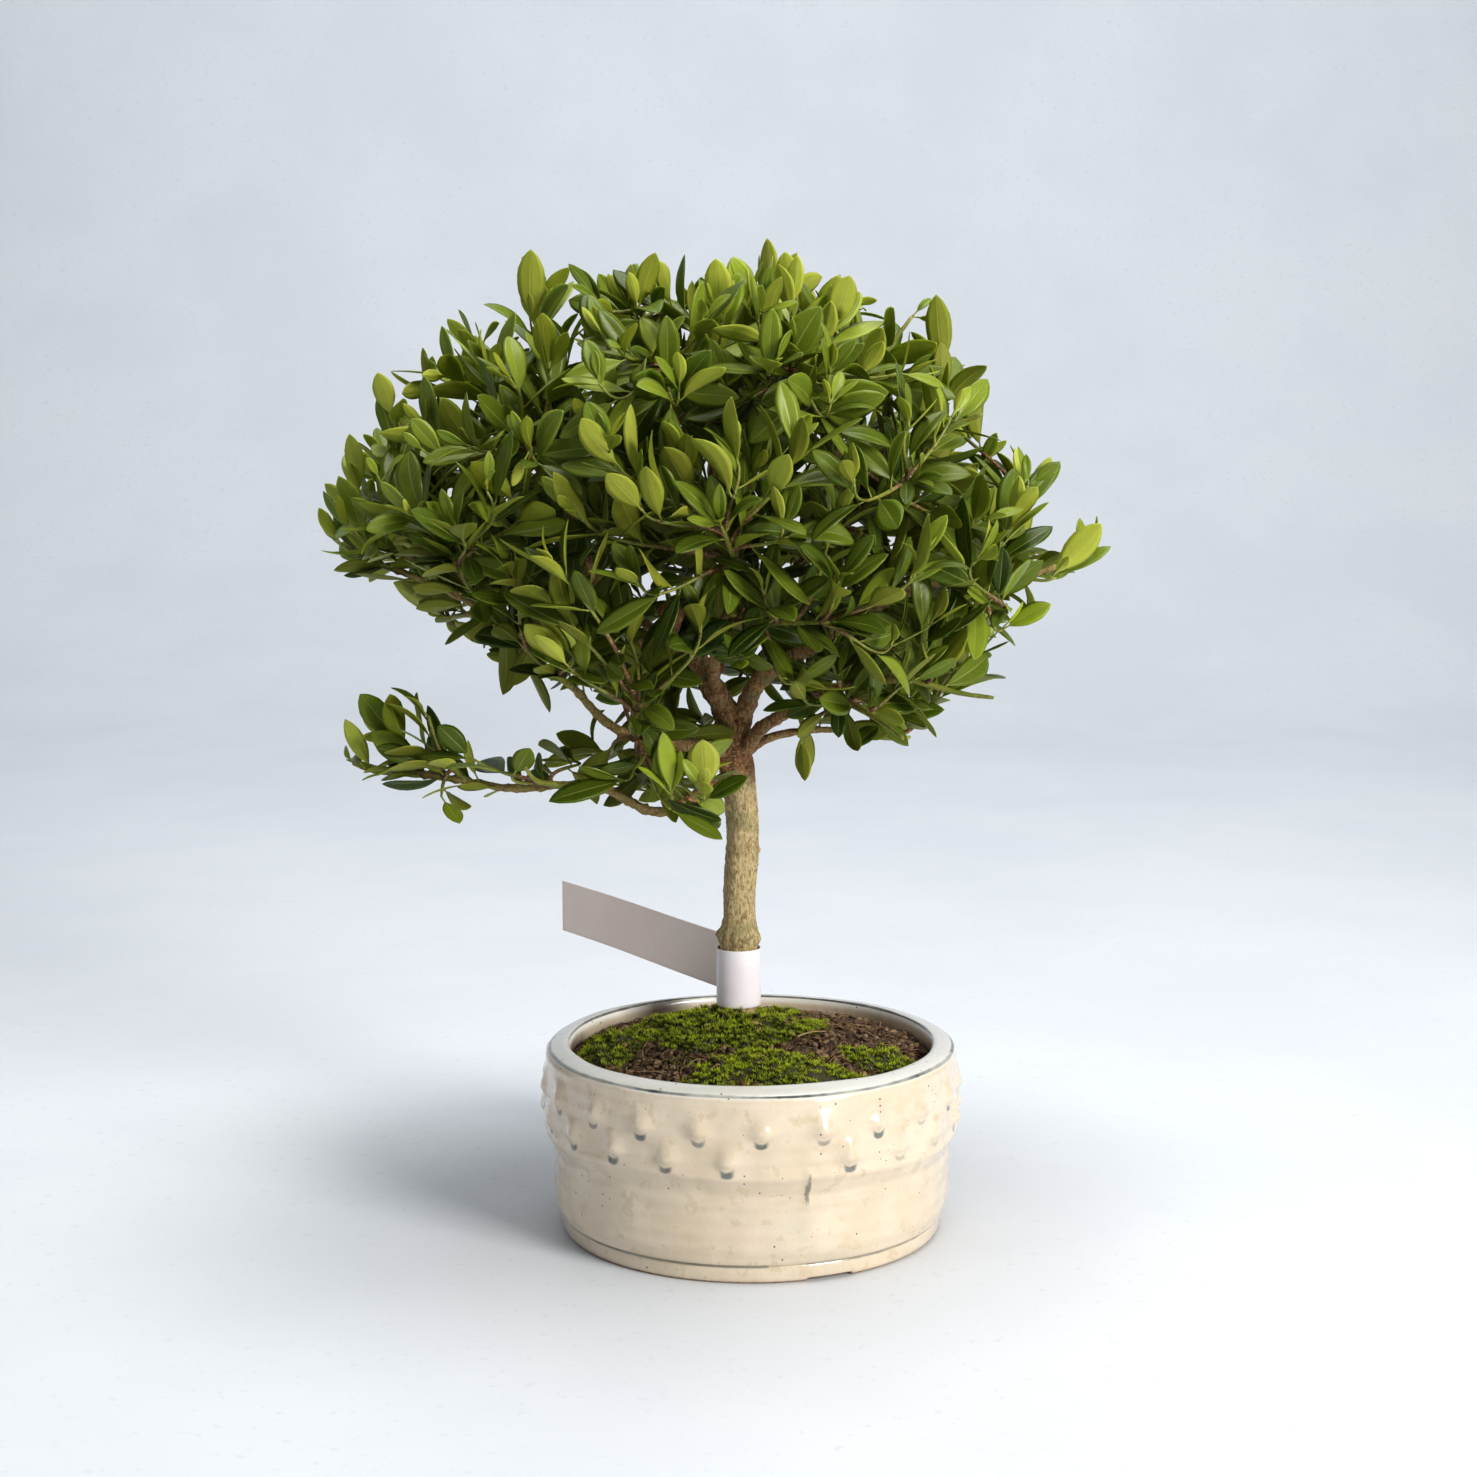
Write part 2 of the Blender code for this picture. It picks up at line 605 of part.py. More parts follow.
def trimmed_stem(path, limb_tree, clear):
    """The part of the path outside the limb, with one station for each leaf."""
    first = len(path) // 2
    while first > 0 and limb_tree.find_nearest(path[first - 1])[3] > clear:
        first -= 1
    start = path[first]
    kept = [start, *path[first + 1:]]
    return [along(kept, step / LEAVES_PER_SPRAY)[0] for step in range(LEAVES_PER_SPRAY + 1)]


def make_sprays(finish, parts, solids, paths, chance):
    """Stems first, each clear of every limb and stem, and then the leaves, each clear of all."""
    obstacles = [tree_of(obj.data) for obj in solids.values()]
    stems = []
    for number, (limb, fraction, tip) in enumerate(SPRAYS):
        limb_tree = tree_of(solids[limb].data)[2]
        root = along(paths[limb], fraction)
        for attempt in range(STEM_TRIES):
            spread = 0.0004 * attempt
            target = Vector(tip) + Vector([chance.uniform(-spread, spread) for _ in range(3)])
            path = trimmed_stem(spray_path(root, target), limb_tree, STEM_CLEAR_OF_LIMB)
            radii = [STEM_RADIUS - STEM_TAPER * step / LEAVES_PER_SPRAY for step in range(len(path))]
            grown = tube_mesh("grown", path, [STEM_MARGIN * radius for radius in radii], 0)
            tree = tree_of(grown)
            if not any(meets(tree, other) for other in obstacles):
                break
        else:
            raise RuntimeError(f"spray {number} finds no clear way")
        bm, end = stem_mesh(path, radii)
        stem_copy = bpy.data.meshes.new("stem")
        bm.to_mesh(stem_copy)
        own = tree_of(stem_copy)
        obstacles.append(own)
        stems.append((bm, end, path, own))
    add_leaves(stems, obstacles, chance)
    for number, (bm, _, _, _) in enumerate(stems):
        place(f"spray_{number + 1:02d}", mesh_of(bm, "spray"), finish, parts)


def near(face, point):
    return (face.calc_center_median() - point).length < STEM_FACE_REACH


def add_leaves(stems, obstacles, chance):
    """Gives each stem its end leaf, and then one leaf a stretch, stretch by stretch over all stems."""
    for bm, end, path, own in stems:
        grow_leaf(bm, end, path, LEAVES_PER_SPRAY, own, obstacles, chance)
    for stretch in range(LEAVES_PER_SPRAY - 1, 1, -1):
        for bm, end, path, own in stems:
            middle = 0.5 * (path[stretch] + path[stretch - 1])
            faces = [face for face in bm.faces if len(face.verts) == 4 and near(face, middle)]
            chance.shuffle(faces)
            for face in faces:
                if grow_leaf(bm, face, path, stretch, own, obstacles, chance):
                    break


def grow_leaf(bm, face, path, stretch, own, obstacles, chance):
    """Grows one leaf from a stem face, if some tilt, turn and size of it is clear. Says whether."""
    start = face.calc_center_median()
    normal = face.normal.copy()
    heading = (path[min(stretch, len(path) - 1)] - path[max(stretch - 1, 0)]).normalized()
    at_end = abs(normal.dot(heading)) > 0.8
    for attempt in range(LEAF_TRIES):
        scale = chance.uniform(0.92, 1.12) * (1 - 0.025 * attempt)
        if at_end:
            out = (normal + 0.3 * Vector([chance.uniform(-1, 1) for _ in range(3)])).normalized()
            across = out.cross(Vector((chance.uniform(-1, 1), -1, chance.uniform(-0.5, 0.5))))
        else:
            lean = chance.uniform(0.35, 1.1)
            out = normal + lean * heading + 0.35 * Vector([chance.uniform(-1, 1) for _ in range(3)])
            out.z += 0.15
            out.normalize()
            across = heading.cross(out)
        across.normalize()
        across = (across - across.dot(out) * out).normalized()
        grown, grown_tip = leaf_sections(start, out, across, scale, GAP)
        if not all(in_crown(corner) for corner in (*grown[1], grown_tip)):
            continue
        tree = leaf_tree(grown, grown_tip, start)
        blade_tree = leaf_tree(grown, grown_tip, start + LEAF_STALK * out)
        if meets(blade_tree, own) or any(meets(tree, other) for other in obstacles if other is not own):
            continue
        sections, tip = leaf_sections(start, out, across, scale, 0)
        frame_across = across if at_end else heading.cross(normal)
        frame_upward = normal.cross(frame_across)
        signs = []
        for vert in face.verts:
            away = vert.co - start
            signs.append((away.dot(frame_across) > 0, away.dot(frame_upward) > 0))
        if len(set(signs)) < 4:
            continue
        order = {(False, False): 0, (True, False): 1, (True, True): 2, (False, True): 3}
        blade = face
        for section in sections:
            blade = bmesh.ops.extrude_discrete_faces(bm, faces=[blade])["faces"][0]
            for vert, sign in zip(blade.verts, signs):
                vert.co = section[order[sign]]
        point = bmesh.ops.poke(bm, faces=[blade])["verts"][0]
        point.co = tip
        obstacles.append(leaf_tree(sections, tip, start))
        bm.normal_update()
        return True
    return False


def main():
    clear_scene()
    parts = collection("bonsai_tree_in_pot")
    cutters = collection("cutters")
    chance = random.Random(SEED)
    glaze = material("cream_glaze", (0.80, 0.74, 0.60), 0.15)
    earth = material("soil", (0.09, 0.05, 0.03), 0.95)
    green = material("moss", (0.12, 0.22, 0.03), 0.90)
    bark = material("bark", (0.36, 0.25, 0.12), 0.80)
    leaf = material("leaf", (0.06, 0.16, 0.03), 0.40)
    paper = material("label", (0.86, 0.82, 0.82), 0.50)
    plastic = material("drain_screen", (0.03, 0.03, 0.03), 0.60)

    make_pot(glaze, parts, cutters)
    make_screens(plastic, parts)
    solids, paths, fat_trunk = limb_solids(bark, parts)
    soil = turned("soil", soil_profile(0), 32, earth, parts)
    socket = place("root_socket", fat_trunk, earth, cutters)
    hide_cutter(socket)
    cut(soil, socket)
    make_moss(green, parts, fat_trunk)
    place("label", make_label_mesh(), paper, parts)
    make_sprays(leaf, parts, solids, paths, chance)


main()
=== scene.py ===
"""A small bonsai tree in a round glazed bowl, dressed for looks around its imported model.

Metres, +Z up, the tree seen from -Y. Every piece rides on the one body, root.
"""

import math

import bpy
import numpy as np
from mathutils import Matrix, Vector
from mathutils.bvhtree import BVHTree


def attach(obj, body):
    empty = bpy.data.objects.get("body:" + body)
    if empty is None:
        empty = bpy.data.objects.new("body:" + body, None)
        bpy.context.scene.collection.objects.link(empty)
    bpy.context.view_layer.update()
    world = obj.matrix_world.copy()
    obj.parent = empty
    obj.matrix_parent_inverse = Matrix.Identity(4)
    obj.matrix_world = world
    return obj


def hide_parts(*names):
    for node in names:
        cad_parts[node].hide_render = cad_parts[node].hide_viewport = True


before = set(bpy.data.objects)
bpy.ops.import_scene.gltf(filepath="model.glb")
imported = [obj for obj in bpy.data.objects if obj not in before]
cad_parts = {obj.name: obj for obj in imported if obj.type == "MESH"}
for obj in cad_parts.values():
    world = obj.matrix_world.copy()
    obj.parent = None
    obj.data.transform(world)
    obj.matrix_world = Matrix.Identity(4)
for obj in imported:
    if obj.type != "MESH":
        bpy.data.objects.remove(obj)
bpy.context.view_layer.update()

# ---------------------------------------------------------------------------------------------
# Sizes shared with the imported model
# ---------------------------------------------------------------------------------------------

DRAIN_RADIUS = 0.0065
DRAIN_FROM_CENTRE = 0.042
DRAIN_CHANNEL_WIDTH = 0.020
DRAIN_CHANNEL_DEPTH = 0.0016
DRAIN_AZIMUTHS = (-67, 53, 173)
TRUNK_FOOT = (-0.0055, 0.024)
LABEL_WIDTH = 0.0254
LABEL_THICKNESS = 0.00035
LABEL_BOTTOM = 0.0897
LABEL_RADIUS = 0.0090
LABEL_TAIL = 0.180
LABEL_TURNS = 1.03
LABEL_OVERLAP = 0.0008
LABEL_TAIL_AZIMUTH = math.radians(122.3)
GOLDEN_ANGLE = math.radians(137.5)
FORK = np.array([-0.012, 0.010, 0.205])
CROWN_DEPTH_MIDDLE = 0.002
CROWN_HALF_DEPTH = 0.123
CROWN_SEED = 17

# The camera: its place, its pitch below level, and its focal length for a sensor of this width.
EYE = np.array([-0.0054, -1.0075, 0.3387])
EYE_DISTANCE = 1.0075
EYE_PITCH = math.radians(7.267)
SENSOR_WIDTH = 36.0
FOCAL_LENGTH = 36.0 * 2400 / 1477

# The bowl's section, from the middle of the floor up the inside, over the rim and down the outside.
BOWL_INSIDE = [
    (0.0, 0.0095), (0.045, 0.0095), (0.0680, 0.0105), (0.0740, 0.0165), (0.0765, 0.0280),
    (0.0780, 0.0450), (0.0780, 0.0640), (0.0770, 0.0760), (0.0773, 0.0792), (0.0782, 0.0805),
]
BOWL_RIM = [
    (0.0782, 0.0805), (0.0800, 0.0806), (0.0830, 0.0800), (0.0856, 0.0792), (0.0866, 0.0786),
]
BOWL_OUTSIDE = [
    (0.0866, 0.0786), (0.0872, 0.0776), (0.0876, 0.0755), (0.0882, 0.0670), (0.0886, 0.0580),
    (0.0885, 0.0495), (0.0878, 0.0445), (0.0866, 0.0392), (0.0854, 0.0330), (0.0847, 0.0260),
    (0.0849, 0.0150), (0.0843, 0.0110), (0.0834, 0.0088), (0.0822, 0.0078), (0.0812, 0.0074),
]
BOWL_FOOT = [
    (0.0812, 0.0074), (0.0815, 0.0068), (0.0816, 0.0050), (0.0814, 0.0022), (0.0809, 0.0008),
    (0.0799, 0.0), (0.0700, 0.0), (0.0300, 0.0), (0.0, 0.0),
]
SOIL_TOP = [
    (0.0, 0.0840), (0.018, 0.0838), (0.034, 0.0824), (0.050, 0.0796), (0.064, 0.0757),
    (0.0764, 0.0735),
]
SOIL_SIDE = [
    (0.0764, 0.0735), (0.0769, 0.0630), (0.0769, 0.0455), (0.0754, 0.0290), (0.0727, 0.0180),
    (0.0666, 0.0128), (0.045, 0.0120), (0.0, 0.0120),
]

# Centre line and radius of the trunk, from the root crown in the soil to the fork.
TRUNK = [
    (-0.0055, 0.0240, 0.0520, 0.0150), (-0.0058, 0.0240, 0.0660, 0.0130),
    (-0.0060, 0.0240, 0.0780, 0.0095), (-0.0056, 0.0240, 0.0890, 0.0080),
    (-0.0055, 0.0240, 0.1130, 0.0078), (-0.0052, 0.0238, 0.1200, 0.0083),
    (-0.0050, 0.0235, 0.1290, 0.0071), (-0.0046, 0.0225, 0.1450, 0.0068),
    (-0.0036, 0.0212, 0.1630, 0.0068), (-0.0042, 0.0210, 0.1810, 0.0070),
    (-0.0060, 0.0205, 0.1930, 0.0078), (-0.0080, 0.0200, 0.2050, 0.0072),
]

# Each limb: its radius at the base and at the tip, and its centre line.
LIMBS = {
    "limb_leader": (0.0058, 0.0040, [
        (-0.008, 0.020, 0.196), (-0.011, 0.018, 0.219), (-0.017, 0.015, 0.231),
        (-0.024, 0.012, 0.245), (-0.030, 0.010, 0.256), (-0.036, 0.008, 0.266)]),
    "limb_right": (0.0044, 0.0016, [
        (-0.006, 0.020, 0.196), (-0.004, 0.018, 0.216), (0.004, 0.012, 0.234),
        (0.021, 0.000, 0.247), (0.047, -0.010, 0.265), (0.075, -0.012, 0.277),
        (0.104, -0.012, 0.278), (0.126, -0.010, 0.283)]),
    "limb_lower_left": (0.0042, 0.0014, [
        (-0.006, 0.020, 0.190), (-0.017, 0.014, 0.187), (-0.030, 0.002, 0.181),
        (-0.043, -0.010, 0.181), (-0.066, -0.020, 0.193), (-0.100, -0.020, 0.192),
        (-0.130, -0.015, 0.196), (-0.150, -0.008, 0.197)]),
    "limb_left": (0.0030, 0.0015, [
        (-0.007, 0.020, 0.201), (-0.024, 0.006, 0.206), (-0.045, -0.012, 0.211),
        (-0.060, -0.024, 0.220), (-0.073, -0.034, 0.236)]),
    "limb_lower_right": (0.0032, 0.0014, [
        (-0.006, 0.020, 0.197), (0.003, 0.011, 0.212), (0.013, 0.001, 0.220),
        (0.026, -0.011, 0.229), (0.044, -0.021, 0.236), (0.066, -0.031, 0.239)]),
    "limb_right_twig": (0.0020, 0.0012, [
        (-0.005, 0.021, 0.199), (0.007, 0.025, 0.207), (0.026, 0.031, 0.210),
        (0.044, 0.036, 0.209)]),
    "limb_top": (0.0034, 0.0015, [
        (-0.028, 0.011, 0.252), (-0.022, 0.012, 0.272), (-0.016, 0.012, 0.294),
        (-0.016, 0.012, 0.320), (-0.007, 0.010, 0.350), (0.001, 0.010, 0.376)]),
    "limb_left_long": (0.0030, 0.0013, [
        (-0.026, 0.012, 0.247), (-0.044, 0.008, 0.249), (-0.070, -0.001, 0.252),
        (-0.103, -0.009, 0.262), (-0.130, -0.007, 0.275), (-0.152, -0.002, 0.283)]),
    "limb_left_upright": (0.0024, 0.0014, [
        (-0.055, 0.004, 0.251), (-0.064, 0.006, 0.270), (-0.071, 0.003, 0.292),
        (-0.079, 0.000, 0.318), (-0.085, 0.000, 0.350)]),
    "limb_right_upright": (0.0024, 0.0014, [
        (0.038, -0.007, 0.259), (0.036, -0.009, 0.280), (0.035, -0.010, 0.303),
        (0.035, -0.010, 0.327), (0.040, -0.009, 0.352)]),
    "limb_back": (0.0032, 0.0014, [
        (-0.018, 0.014, 0.234), (-0.012, 0.030, 0.243), (-0.002, 0.050, 0.257),
        (0.006, 0.070, 0.272), (0.010, 0.086, 0.288)]),
    "limb_back_left": (0.0026, 0.0013, [
        (-0.021, 0.013, 0.240), (-0.036, 0.028, 0.250), (-0.058, 0.044, 0.264),
        (-0.080, 0.058, 0.280)]),
    "limb_front": (0.0028, 0.0014, [
        (-0.015, 0.016, 0.228), (-0.016, -0.002, 0.238), (-0.014, -0.024, 0.252),
        (-0.010, -0.048, 0.268), (-0.006, -0.068, 0.286)]),
}

# Each spray: the limb it grows from, how far along that limb, and where its stem ends.
SPRAYS = [
    ("limb_top", 0.99, (0.006, 0.008, 0.3880)),
    ("limb_top", 0.86, (-0.036, -0.004, 0.392)),
    ("limb_top", 0.80, (0.040, 0.020, 0.392)),
    ("limb_top", 0.66, (-0.036, -0.044, 0.366)),
    ("limb_top", 0.60, (0.016, -0.052, 0.366)),
    ("limb_top", 0.72, (-0.014, 0.062, 0.374)),
    ("limb_left_upright", 0.98, (-0.088, 0.004, 0.392)),
    ("limb_left_upright", 0.84, (-0.124, -0.012, 0.362)),
    ("limb_left_upright", 0.60, (-0.092, -0.056, 0.338)),
    ("limb_left_upright", 0.70, (-0.086, 0.054, 0.350)),
    ("limb_left_long", 0.98, (-0.172, 0.002, 0.292)),
    ("limb_left_long", 0.78, (-0.152, 0.004, 0.326)),
    ("limb_left_long", 0.52, (-0.118, -0.056, 0.290)),
    ("limb_left_long", 0.66, (-0.134, 0.036, 0.258)),
    ("limb_left", 0.98, (-0.094, -0.046, 0.256)),
    ("limb_left", 0.55, (-0.044, -0.062, 0.232)),
    ("limb_lower_left", 0.98, (-0.168, -0.004, 0.200)),
    ("limb_lower_left", 0.80, (-0.134, -0.020, 0.222)),
    ("limb_lower_left", 0.55, (-0.092, -0.044, 0.204)),
    ("limb_right", 0.98, (0.141, -0.008, 0.290)),
    ("limb_right", 0.84, (0.116, 0.020, 0.316)),
    ("limb_right", 0.74, (0.104, -0.044, 0.268)),
    ("limb_right_upright", 0.98, (0.066, -0.006, 0.386)),
    ("limb_right_upright", 0.66, (0.094, -0.022, 0.346)),
    ("limb_right_upright", 0.40, (0.062, -0.064, 0.320)),
    ("limb_lower_right", 0.98, (0.098, -0.040, 0.232)),
    ("limb_lower_right", 0.62, (0.060, -0.062, 0.218)),
    ("limb_right_twig", 0.97, (0.070, 0.038, 0.206)),
    ("limb_back", 0.98, (0.020, 0.116, 0.306)),
    ("limb_back", 0.76, (-0.030, 0.100, 0.326)),
    ("limb_back", 0.60, (0.054, 0.078, 0.316)),
    ("limb_back_left", 0.98, (-0.112, 0.074, 0.296)),
    ("limb_right", 0.42, (0.072, 0.044, 0.292)),
    ("limb_front", 0.98, (-0.012, -0.104, 0.304)),
    ("limb_front", 0.66, (0.030, -0.082, 0.266)),
]

# Each moss cushion: its centre, its half-lengths along X and Y, and the heights of its edge and
# its top.
MOSS = {
    "moss_centre": (-0.010, 0.006, 0.040, 0.047, 0.0785, 0.0885),
    "moss_front": (0.008, -0.050, 0.038, 0.0175, 0.0735, 0.0830),
    "moss_left": (-0.057, -0.006, 0.0175, 0.029, 0.0730, 0.0820),
    "moss_right": (0.055, -0.029, 0.0160, 0.0140, 0.0735, 0.0830),
}

# The crown's edge as it is seen from the front, at the depth of the trunk: X and Z.
CROWN_EDGE = [
    (-0.181, 0.306), (-0.178, 0.316), (-0.170, 0.322), (-0.168, 0.338), (-0.160, 0.339),
    (-0.154, 0.334), (-0.156, 0.355), (-0.150, 0.363), (-0.141, 0.357), (-0.137, 0.372),
    (-0.132, 0.372), (-0.129, 0.361), (-0.127, 0.385), (-0.119, 0.389), (-0.104, 0.391),
    (-0.097, 0.386), (-0.095, 0.409), (-0.091, 0.413), (-0.086, 0.409), (-0.080, 0.396),
    (-0.074, 0.408), (-0.063, 0.402), (-0.050, 0.411), (-0.038, 0.412), (-0.034, 0.402),
    (-0.027, 0.413), (-0.010, 0.405), (-0.008, 0.415), (0.004, 0.417), (0.010, 0.417),
    (0.017, 0.413), (0.030, 0.401), (0.037, 0.403), (0.045, 0.395), (0.070, 0.383),
    (0.073, 0.395), (0.080, 0.384), (0.083, 0.370), (0.097, 0.367), (0.098, 0.354),
    (0.101, 0.337), (0.112, 0.331), (0.127, 0.328), (0.128, 0.322), (0.124, 0.310),
    (0.123, 0.303), (0.131, 0.302), (0.145, 0.303), (0.150, 0.293), (0.142, 0.285),
    (0.125, 0.276), (0.122, 0.268), (0.114, 0.253), (0.107, 0.244), (0.107, 0.231),
    (0.098, 0.227), (0.084, 0.231), (0.077, 0.208), (0.058, 0.209), (0.045, 0.212),
    (0.042, 0.195), (0.038, 0.211), (0.026, 0.207), (0.024, 0.193), (0.015, 0.196),
    (0.010, 0.207), (0.003, 0.210), (0.003, 0.197), (0.001, 0.165), (-0.014, 0.166),
    (-0.027, 0.168), (-0.047, 0.176), (-0.064, 0.182), (-0.088, 0.184), (-0.114, 0.184),
    (-0.118, 0.178), (-0.131, 0.176), (-0.137, 0.184), (-0.157, 0.189), (-0.171, 0.196),
    (-0.171, 0.222), (-0.165, 0.231), (-0.156, 0.231), (-0.138, 0.231), (-0.127, 0.221),
    (-0.119, 0.210), (-0.106, 0.207), (-0.100, 0.200), (-0.090, 0.206), (-0.076, 0.215),
    (-0.086, 0.222), (-0.098, 0.221), (-0.107, 0.231), (-0.116, 0.242), (-0.131, 0.252),
    (-0.143, 0.263), (-0.159, 0.275), (-0.175, 0.279), (-0.180, 0.292),
]

# Shoots that the eye knows the tree by: where the end leaf starts, where its tip is, how wide it is
# for its length, which way its upper face looks (X, Y, Z), and how fresh its growth is.
LEADING_LEAVES = [
    ((-0.0904, -0.012, 0.3835), (-0.0900, -0.014, 0.4125), 0.42, (0.2, 1.0, 0.1), 0.55),
    ((-0.0122, -0.030, 0.3828), (-0.0146, -0.034, 0.4075), 0.46, (0.2, 1.0, 0.1), 1.00),
    ((-0.0010, -0.004, 0.3900), (0.0040, -0.006, 0.4085), 0.34, (-0.9, -0.3, 0.4), 0.90),
    ((0.0787, -0.010, 0.3640), (0.0751, -0.010, 0.3945), 0.36, (0.1, 1.0, 0.1), 0.45),
    ((-0.1340, -0.008, 0.3545), (-0.1349, -0.008, 0.3734), 0.36, (0.8, 0.6, 0.1), 0.60),
    ((-0.1620, -0.010, 0.3130), (-0.1655, -0.010, 0.3381), 0.42, (0.6, 0.9, 0.1), 0.65),
    ((-0.1470, -0.018, 0.3440), (-0.1525, -0.018, 0.3628), 0.50, (0.3, 1.0, 0.2), 0.55),
    ((-0.0925, -0.072, 0.3120), (-0.1085, -0.076, 0.3275), 0.52, (0.3, 1.0, 0.3), 0.90),
    ((-0.0709, -0.066, 0.2540), (-0.0740, -0.072, 0.2815), 0.55, (0.1, 1.0, 0.2), 0.85),
    ((-0.0720, -0.070, 0.2475), (-0.0885, -0.076, 0.2650), 0.50, (0.4, 1.0, 0.3), 0.80),
    ((-0.0680, -0.062, 0.2560), (-0.0530, -0.064, 0.2850), 0.40, (-0.5, -0.9, 0.3), 0.40),
    ((-0.0192, -0.040, 0.1930), (-0.0200, -0.044, 0.2156), 0.60, (0.1, 1.0, 0.2), 0.70),
    ((-0.0330, -0.036, 0.1920), (-0.0369, -0.038, 0.2215), 0.34, (0.3, -0.9, 0.4), 0.80),
    ((0.1253, -0.012, 0.2800), (0.1440, -0.014, 0.3015), 0.42, (0.6, 0.8, 0.5), 0.85),
    ((0.1274, -0.006, 0.2790), (0.1495, -0.006, 0.2919), 0.34, (-0.3, -0.6, 0.8), 0.90),
    ((0.1025, -0.030, 0.2590), (0.1215, -0.032, 0.2697), 0.48, (-0.4, -0.8, 0.7), 0.75),
    ((0.0160, -0.020, 0.3890), (0.0131, -0.022, 0.4110), 0.44, (0.1, 1.0, 0.2), 0.80),
    ((0.0326, -0.030, 0.3800), (0.0387, -0.032, 0.4010), 0.56, (-0.2, 1.0, 0.2), 0.70),
    ((-0.0626, -0.020, 0.3920), (-0.0736, -0.022, 0.4065), 0.36, (0.5, -0.8, 0.5), 0.35),
    ((-0.0461, -0.024, 0.3880), (-0.0393, -0.026, 0.4105), 0.40, (-0.3, 0.9, 0.3), 0.60),
    ((-0.0811, -0.040, 0.3630), (-0.0833, -0.042, 0.3857), 0.46, (0.2, 1.0, 0.2), 0.75),
    ((0.1147, -0.012, 0.3170), (0.1271, -0.012, 0.3265), 0.46, (-0.3, -0.8, 0.6), 0.60),
    ((0.0206, -0.014, 0.2130), (0.0228, -0.016, 0.1945), 0.40, (0.5, 0.8, 0.3), 0.35),
    ((-0.1490, -0.010, 0.2110), (-0.1630, -0.012, 0.2305), 0.48, (-0.3, -0.8, 0.6), 0.45),
    ((-0.1288, -0.020, 0.1880), (-0.1205, -0.030, 0.1790), 0.55, (0.5, -0.6, 0.6), 0.30),
    ((-0.0528, -0.028, 0.1962), (-0.0825, -0.042, 0.1908), 0.38, (0.0, -0.6, 0.8), 0.10),
    ((-0.0330, -0.034, 0.1850), (-0.0120, -0.042, 0.1745), 0.36, (0.3, -0.6, 0.7), 0.25),
    ((-0.0200, -0.030, 0.1880), (-0.0020, -0.036, 0.1990), 0.42, (-0.2, -0.7, 0.7), 0.30),
    ((0.0150, -0.020, 0.2350), (0.0260, -0.028, 0.2270), 0.50, (0.4, -0.8, 0.5), 0.15),
    ((-0.0300, -0.044, 0.2560), (-0.0080, -0.052, 0.2610), 0.42, (0.0, -0.6, 0.8), 0.20),
    ((-0.0420, -0.050, 0.2440), (-0.0200, -0.058, 0.2400), 0.46, (0.1, -0.7, 0.7), 0.15),
    ((0.0480, -0.030, 0.2260), (0.0640, -0.036, 0.2120), 0.40, (0.4, -0.7, 0.6), 0.20),
    ((-0.1150, -0.030, 0.2060), (-0.1280, -0.034, 0.2200), 0.50, (-0.4, -0.8, 0.5), 0.30),
    ((-0.1370, -0.018, 0.2020), (-0.1560, -0.020, 0.2190), 0.46, (-0.3, -0.9, 0.4), 0.35),
    ((-0.0980, -0.034, 0.1990), (-0.0900, -0.040, 0.2110), 0.60, (0.4, -0.8, 0.5), 0.20),
]

# ---------------------------------------------------------------------------------------------
# Mesh making
# ---------------------------------------------------------------------------------------------


class Heap:
    """The points, faces and tints of many small shapes that together make one piece."""

    def __init__(self):
        self.points = []
        self.tints = []
        self.quads = []
        self.tris = []
        self.finish_of_quads = []
        self.finish_of_tris = []
        self.size = 0

    def add(self, points, quads, tris, tints, finish=0):
        points = np.asarray(points, float).reshape(-1, 3)
        quads = np.asarray(quads, int).reshape(-1, 4)
        tris = np.asarray(tris, int).reshape(-1, 3)
        self.points.append(points)
        self.tints.append(np.broadcast_to(np.asarray(tints, float), (len(points), 4)))
        self.quads.append(quads + self.size)
        self.tris.append(tris + self.size)
        self.finish_of_quads.append(np.full(len(quads), finish))
        self.finish_of_tris.append(np.full(len(tris), finish))
        self.size += len(points)


def piece(name, heap, finishes, nodes, smooth=True):
    """Makes one object of a heap, riding on the root body and standing for these CAD nodes."""
    points = np.concatenate(heap.points)
    quads = np.concatenate(heap.quads)
    tris = np.concatenate(heap.tris)
    mesh = bpy.data.meshes.new(name)
    mesh.vertices.add(len(points))
    mesh.vertices.foreach_set("co", points.ravel())
    mesh.loops.add(quads.size + tris.size)
    mesh.loops.foreach_set("vertex_index", np.concatenate([quads.ravel(), tris.ravel()]))
    starts = np.concatenate([4 * np.arange(len(quads)), quads.size + 3 * np.arange(len(tris))])
    mesh.polygons.add(len(starts))
    mesh.polygons.foreach_set("loop_start", starts)
    finish = np.concatenate(heap.finish_of_quads + heap.finish_of_tris)
    mesh.polygons.foreach_set("material_index", finish.astype(np.int32))
    mesh.polygons.foreach_set("use_smooth", np.full(len(starts), smooth))
    mesh.update(calc_edges=True)
    tint = mesh.attributes.new("tint", "FLOAT_COLOR", "POINT")
    tint.data.foreach_set("color", np.concatenate(heap.tints).ravel())
    for made in finishes:
        mesh.materials.append(made)
    obj = bpy.data.objects.new(name, mesh)
    bpy.context.scene.collection.objects.link(obj)
    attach(obj, "root")
    if nodes:
        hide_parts(*nodes)
    return obj


def unit(vectors):
    vectors = np.asarray(vectors, float)
    return vectors / np.maximum(np.linalg.norm(vectors, axis=-1, keepdims=True), 1e-12)


